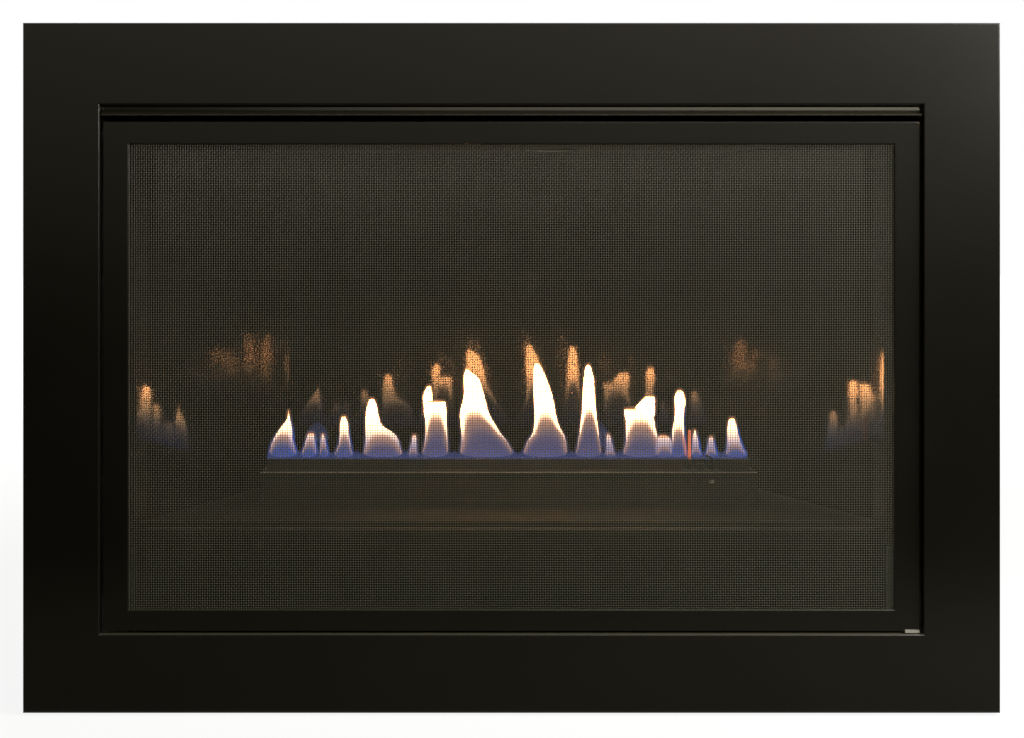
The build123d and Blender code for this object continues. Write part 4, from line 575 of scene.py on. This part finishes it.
def raise_flame(name, levels, wider, material):
    """Draws a flame upwards from a ring, level by level, each ring widened and moved to the flame's edges."""
    bpy.ops.object.select_all(action="DESELECT")
    bpy.ops.mesh.primitive_circle_add(vertices=14, radius=1.0, fill_type="NGON", location=(0, 0, 0))
    flame = bpy.context.object
    flame.name = name
    bpy.ops.object.mode_set(mode="EDIT")
    bpy.ops.mesh.select_all(action="SELECT")
    ring = (0.0, 0.0, 0.0, 1.0, 1.0)
    for number, (level, left, right) in enumerate(levels):
        middle = (left + right) / 2000
        half = max((right - left) / 2000 - edge_inset, narrowest) + wider
        deep = min(0.8 * half, flame_depth + wider)
        high = burner_top + level / 1000 + (wider if number == len(levels) - 1 else 0.0)
        move = (middle - ring[0], flame_line - ring[1], high - ring[2])
        if number:
            bpy.ops.mesh.extrude_region_move(TRANSFORM_OT_translate={"value": move})
        else:
            bpy.ops.transform.translate(value=move)
        bpy.ops.transform.resize(value=(half / ring[3], deep / ring[4], 1.0),
                                 center_override=(middle, flame_line, high))
        ring = (middle, flame_line, high, half, deep)
    bpy.ops.mesh.select_all(action="SELECT")
    bpy.ops.mesh.normals_make_consistent(inside=False)
    bpy.ops.object.mode_set(mode="OBJECT")
    bpy.ops.object.transform_apply(location=True, rotation=True, scale=True)
    soft = flame.modifiers.new("soft", "SUBSURF")
    soft.levels = soft.render_levels = 2
    bpy.ops.object.modifier_apply(modifier="soft")
    bpy.ops.object.shade_smooth()
    flame.data.materials.append(material)
    return flame


def light_up(shell, law):
    """Paints the glow on a shell of gas, by a law of its place across and up in mm."""
    burning = shell.data.color_attributes.new("burning", "FLOAT_COLOR", "POINT")
    for vertex, paint in zip(shell.data.vertices, burning.data):
        paint.color = law(vertex.co.x * 1000, (vertex.co.z - burner_top) * 1000)
    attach(shell, "insert")


# Glows are linear and go past 1 where a flame is brighter than white paint.
foot_blue = (0.19, 0.18, 0.42)
outer_blue = (0.11, 0.16, 0.56)
fringe_blue = (0.05, 0.17, 0.85)
warm_haze = (0.95, 0.52, 0.38)
thin_wall = (0.34, 0.30, 0.52)
soot_cream = (6.0, 3.4, 1.8)
soot_hottest = (56.0, 22.0, 7.5)
rim_violet = (0.30, 0.17, 0.17)
tip_orange = (1.5, 0.55, 0.22)
faded_tip = {"first_left": 10.0}
core_gas = burning_gas("glowing_flame_core")
edge_gas = burning_gas("glowing_flame_edge")
gas_solid = 0.30                # how much each kind of gas hides what is behind it
haze_solid = 0.10
soot_solid = 0.60
edge_solid = 0.14
fringe_solid = 0.16
for name, (arch, levels) in flames.items():
    tip = levels[-1][0]
    centre = (levels[0][1] + levels[0][2]) / 2
    outer = eased(abs(centre), 150, 230)
    gas_blue = brightened(foot_blue, outer_blue, outer)
    fade = min(14.0, 0.36 * arch)

    def core_glow(across, level):
        """Blue under an arch, a warm haze below the arch's edge, and white soot over it and down its sides."""
        middle, half = across_at(levels, level)
        side = min(abs((across - middle) / half), 1.0)
        white_from = arch * (1 - 1.1 * side ** 3.6)
        hazy = eased(level, white_from - 1.8 * fade, white_from + 0.2 * fade)
        white = eased(level, white_from - 1, white_from + 1.4 * fade) * eased(level, -2, 9)
        wall = brightened(thin_wall, soot_cream, eased(level, 4, 40))
        soot = brightened(wall, soot_hottest, eased(level, 25, 78))
        colour = brightened(brightened(gas_blue, warm_haze, hazy), soot, white)
        colour = brightened(colour, tip_orange, eased(level, tip - faded_tip.get(name, 3.0), tip))
        return colour + (gas_solid + haze_solid * hazy + soot_solid * white,)

    def edge_glow(across, level):
        """Blue at the foot and violet above, with a bright blue fringe on the right of the outer flames."""
        middle, half = across_at(levels, level)
        lit = eased(level, 14, 45)
        fringe = outer * eased((across - middle) / half, 0.3, 0.9) * (1 - eased(level, 0.7 * tip, tip))
        colour = brightened(brightened(gas_blue, rim_violet, lit), fringe_blue, fringe)
        colour = brightened(colour, tip_orange, 0.6 * eased(level, 0.6 * tip, tip))
        return colour + (edge_solid + fringe_solid * fringe,)

    core = raise_flame("flame_core_" + name, levels, 0.0, core_gas)
    edge = raise_flame("flame_edge_" + name, levels, glow_width, edge_gas)
    light_up(core, core_glow)
    light_up(edge, edge_glow)

# ---------------------------------------------------------------------------
# Blue domes: two thin sheets of unlit gas that close over the small flames beside them, clear enough to see
# through. Beside the sensor rod a thin red wisp leans off to the left.
blue_domes = {
    "left": [(18, -241, -210), (27, -240, -211), (33, -237, -213), (38, -233, -217), (43, -227, -223)],
    "right": [(12, 106, 128), (22, 106, 125), (31, 107, 119), (38, 107, 114), (43, 108, 110)],
}
dome_blue = (0.10, 0.14, 0.42)
sensor_wisp = [(2, 208, 212.5), (12, 206.5, 211), (22, 205, 209.5), (32, 203.5, 207.5), (41, 202.5, 205)]
wisp_red = (1.1, 0.26, 0.13)
wisp_solid = 0.62
for name, levels in blue_domes.items():
    shell = raise_flame("flame_dome_" + name, levels, 0.0, edge_gas)
    light_up(shell, lambda across, level: dome_blue + (edge_solid * (1 - 0.5 * eased(level, 30, 44)),))
wisp = raise_flame("flame_wisp_at_sensor", sensor_wisp, 0.0, edge_gas)
light_up(wisp, lambda across, level: wisp_red + (wisp_solid * (1 - 0.6 * eased(level, 24, 41)),))

# ---------------------------------------------------------------------------
# Blue root of the flames: the low blue curtain that burns off every port along the whole ribbon.
# It is scalloped, one dome to each group of ports, and so thin that the tray shows through it.
root_left = -0.284
root_right = 0.282
root_height = 0.010
root_solid = 0.22
halved_until = 0.003
dome = 0.0115
dome_rise = 0.007
bpy.ops.object.select_all(action="DESELECT")
root_middle = ((root_left + root_right) / 2, flame_line, burner_top + root_height / 2)
bpy.ops.mesh.primitive_cube_add(size=1.0, location=root_middle,
                                scale=(root_right - root_left, flame_depth, root_height))
blue_root = bpy.context.object
blue_root.name = "flame_blue_root"
bpy.ops.object.transform_apply(location=True, rotation=True, scale=True)
bpy.ops.object.mode_set(mode="EDIT")
for halving in range(7):
    bpy.ops.mesh.select_all(action="DESELECT")
    bpy.ops.object.mode_set(mode="OBJECT")
    for edge in blue_root.data.edges:
        first, second = (blue_root.data.vertices[end].co for end in edge.vertices)
        edge.select = abs(first.x - second.x) > halved_until
    bpy.ops.object.mode_set(mode="EDIT")
    bpy.ops.mesh.subdivide(number_cuts=1)
bpy.ops.object.mode_set(mode="OBJECT")
for vertex in blue_root.data.vertices:
    if vertex.co.z > burner_top + root_height / 2:
        vertex.co.z += dome_rise * abs(math.sin(math.pi * vertex.co.x / dome)) - 0.001
        vertex.co.y = flame_line + (vertex.co.y - flame_line) * 0.4
blue_root.data.materials.append(core_gas)
bpy.ops.object.shade_smooth()
light_up(blue_root, lambda across, level: outer_blue + (root_solid if level < root_height * 500 else 0.0,))

# ---------------------------------------------------------------------------
# Studio: a plain pale floor under the insert, white all round, and three softboxes from the front.
# The floor takes the insert's shadow. The room behind the camera is dim, and gloss rays see the floor in front of
# the insert painted dark, a painted reflection, so the black front stays black.
bpy.ops.object.select_all(action="DESELECT")
bpy.ops.mesh.primitive_grid_add(x_subdivisions=2, y_subdivisions=2, size=30.0, location=(0, 0, 0))
floor = bpy.context.object
floor.name = "studio_floor"
pale_floor, add = new_finish("pale_matt_floor")
place = add("TexCoord", {}).outputs["Object"]
where = add("SeparateXYZ", {"Vector": place})
behind = add("Math", {0: where.outputs["Y"], 1: -0.2}, operation="GREATER_THAN")
ray = add("LightPath", {})
mirrored = add("Math", {0: ray.outputs["Is Glossy Ray"], 1: ray.outputs["Is Transmission Ray"]},
               operation="MAXIMUM")
mirrored_behind = add("Math", {0: mirrored, 1: behind}, operation="MULTIPLY")
white_share = add("Math", {0: ray.outputs["Is Camera Ray"], 1: mirrored_behind}, operation="MAXIMUM")
away = add("VectorMath", {0: place}, operation="LENGTH")
whiteness = add("MapRange", {"Value": away, "From Min": 0.9, "From Max": 3.0, "To Min": 0.8})
mostly_white = add("Math", {0: white_share, 1: whiteness}, operation="MULTIPLY")
in_front = add("Math", {0: 1.0, 1: behind}, operation="SUBTRACT")
# Painted reflection: in front of the insert, gloss and transmission rays see the floor dark, darker further out.
gloss_in_front = add("Math", {0: mirrored, 1: in_front}, operation="MULTIPLY")
near_edge = add("MapRange", {"Value": where.outputs["Y"], "From Min": -0.85, "From Max": -0.5})
painted_floor_reflection = add("Mix", {0: near_edge, 6: linear("#12110f"), 7: linear("#625e52")}, data_type="RGBA")
floor_colour = add("Mix", {0: gloss_in_front, 6: linear("#b4b1ab"), 7: painted_floor_reflection}, data_type="RGBA")
matt = add("BsdfDiffuse", {"Color": floor_colour})
white = add("Emission", {"Color": (1.0, 1.0, 1.0, 1.0), "Strength": 1.12})
floor_shader = add("MixShader", {0: mostly_white, 1: matt, 2: white})
dress(pale_floor, floor_shader)
floor.data.materials.append(pale_floor)

studio = bpy.data.worlds.new("white_studio")
bpy.context.scene.world = studio
studio.use_nodes = True
studio.node_tree.nodes.clear()
add = functools.partial(add_node, studio.node_tree)
direction = add("TexCoord", {}).outputs["Generated"]
axes = add("SeparateXYZ", {"Vector": direction})
behind = add("MapRange", {"Value": axes.outputs["Y"], "From Min": -0.05, "From Max": 0.05})
below_ceiling = add("MapRange", {"Value": axes.outputs["Z"], "From Min": 0.5, "From Max": 0.65, "To Min": 1.0,
                                 "To Max": 0.0})
backdrop = add("Math", {0: behind, 1: below_ceiling}, operation="MULTIPLY")
ray = add("LightPath", {})
mirrored = add("Math", {0: ray.outputs["Is Glossy Ray"], 1: ray.outputs["Is Transmission Ray"]},
               operation="MAXIMUM")
mirrored_behind = add("Math", {0: mirrored, 1: backdrop}, operation="MULTIPLY")
white_share = add("Math", {0: ray.outputs["Is Camera Ray"], 1: mirrored_behind}, operation="MAXIMUM")
# The front half of the room, which only gloss and soft light show: a pale wall low down, brighter on the right.
wall_rise = add("MapRange", {"Value": axes.outputs["Z"], "From Min": -0.01, "From Max": 0.2})
wall_fall = add("MapRange", {"Value": axes.outputs["Z"], "From Min": 0.32, "From Max": 0.5, "To Min": 1.0,
                             "To Max": 0.06})
sideways = add("MapRange", {"Value": axes.outputs["X"], "From Min": -0.4, "From Max": 0.4, "To Min": 0.34,
                            "To Max": 0.68})
wall_end = add("MapRange", {"Value": axes.outputs["X"], "From Min": -0.75, "From Max": -0.45, "To Min": 0.1})
wall_part = add("Math", {0: wall_rise, 1: wall_fall}, operation="MULTIPLY")
wall = add("Math", {0: wall_part, 1: wall_end}, operation="MULTIPLY")
wall_share = add("Math", {0: wall, 1: sideways}, operation="MULTIPLY")
# High behind the insert a skylight, which the surround's upper right picks up.
skylight = add("MapRange", {"Value": axes.outputs["X"], "From Min": -0.22, "From Max": 0.26})
overhead = add("MapRange", {"Value": axes.outputs["Z"], "From Min": 0.6, "From Max": 0.75})
skylight_share = add("Math", {0: skylight, 1: overhead}, operation="MULTIPLY")
skylight_behind = add("Math", {0: skylight_share, 1: behind}, operation="MULTIPLY")
room_share = add("Math", {0: wall_share, 1: skylight_behind}, operation="MAXIMUM")
room_colour = add("Mix", {0: room_share, 6: linear("#12100c"), 7: linear("#f4ead0")}, data_type="RGBA")
room = add("Background", {"Color": room_colour, "Strength": 1.5})
white = add("Background", {"Color": linear("#ffffff"), "Strength": 1.0})
sky = add("MixShader", {0: white_share, 1: room, 2: white})
add("OutputWorld", {"Surface": sky})


def hang_softbox(name, spot, aim, width, depth, power):
    """Hangs a softbox at a spot, turned to a point."""
    lamp = bpy.data.lights.new(name, "AREA")
    lamp.shape = "RECTANGLE"
    lamp.size = width
    lamp.size_y = depth
    lamp.energy = power
    softbox = bpy.data.objects.new(name, lamp)
    bpy.context.scene.collection.objects.link(softbox)
    softbox.location = spot
    line = [a - b for a, b in zip(aim, spot)]
    flat = math.hypot(line[0], line[1])
    softbox.rotation_euler = (math.atan2(flat, -line[2]), 0.0, math.atan2(line[1], line[0]) - math.pi / 2)


hang_softbox("right_softbox", (1.3, -0.8, 1.2), (0.25, -0.2, 0.4), 0.9, 0.9, 46)
hang_softbox("overhead_softbox", (0.6, -0.9, 2.1), (0.3, -0.15, 0.4), 1.2, 0.6, 9)
hang_softbox("left_softbox", (-2.0, -1.4, 1.5), (-0.1, 0.0, 0.4), 1.0, 1.0, 1.5)

# ---------------------------------------------------------------------------
# Camera: square to the front, 1.425 m from it and 0.5 m up, as the flames' mirror images show.
# Its lens is shifted, so that the insert stands in the frame as in the photograph and its uprights stay upright.
image_width = 1024
eye_distance = 1.425
front_scale = 1.039
view = bpy.data.cameras.new("front_view")
view.sensor_width = 36.0
view.lens = 36.0 * eye_distance * 1000 / (front_scale * image_width)
view.shift_x = 29.3 / image_width
view.shift_y = -135.0 / image_width
camera = bpy.data.objects.new("front_view", view)
bpy.context.scene.collection.objects.link(camera)
camera.location = (-0.030, front_plane - eye_distance, 0.501)
camera.rotation_euler = (math.pi / 2, 0.0, 0.0)
bpy.context.scene.camera = camera
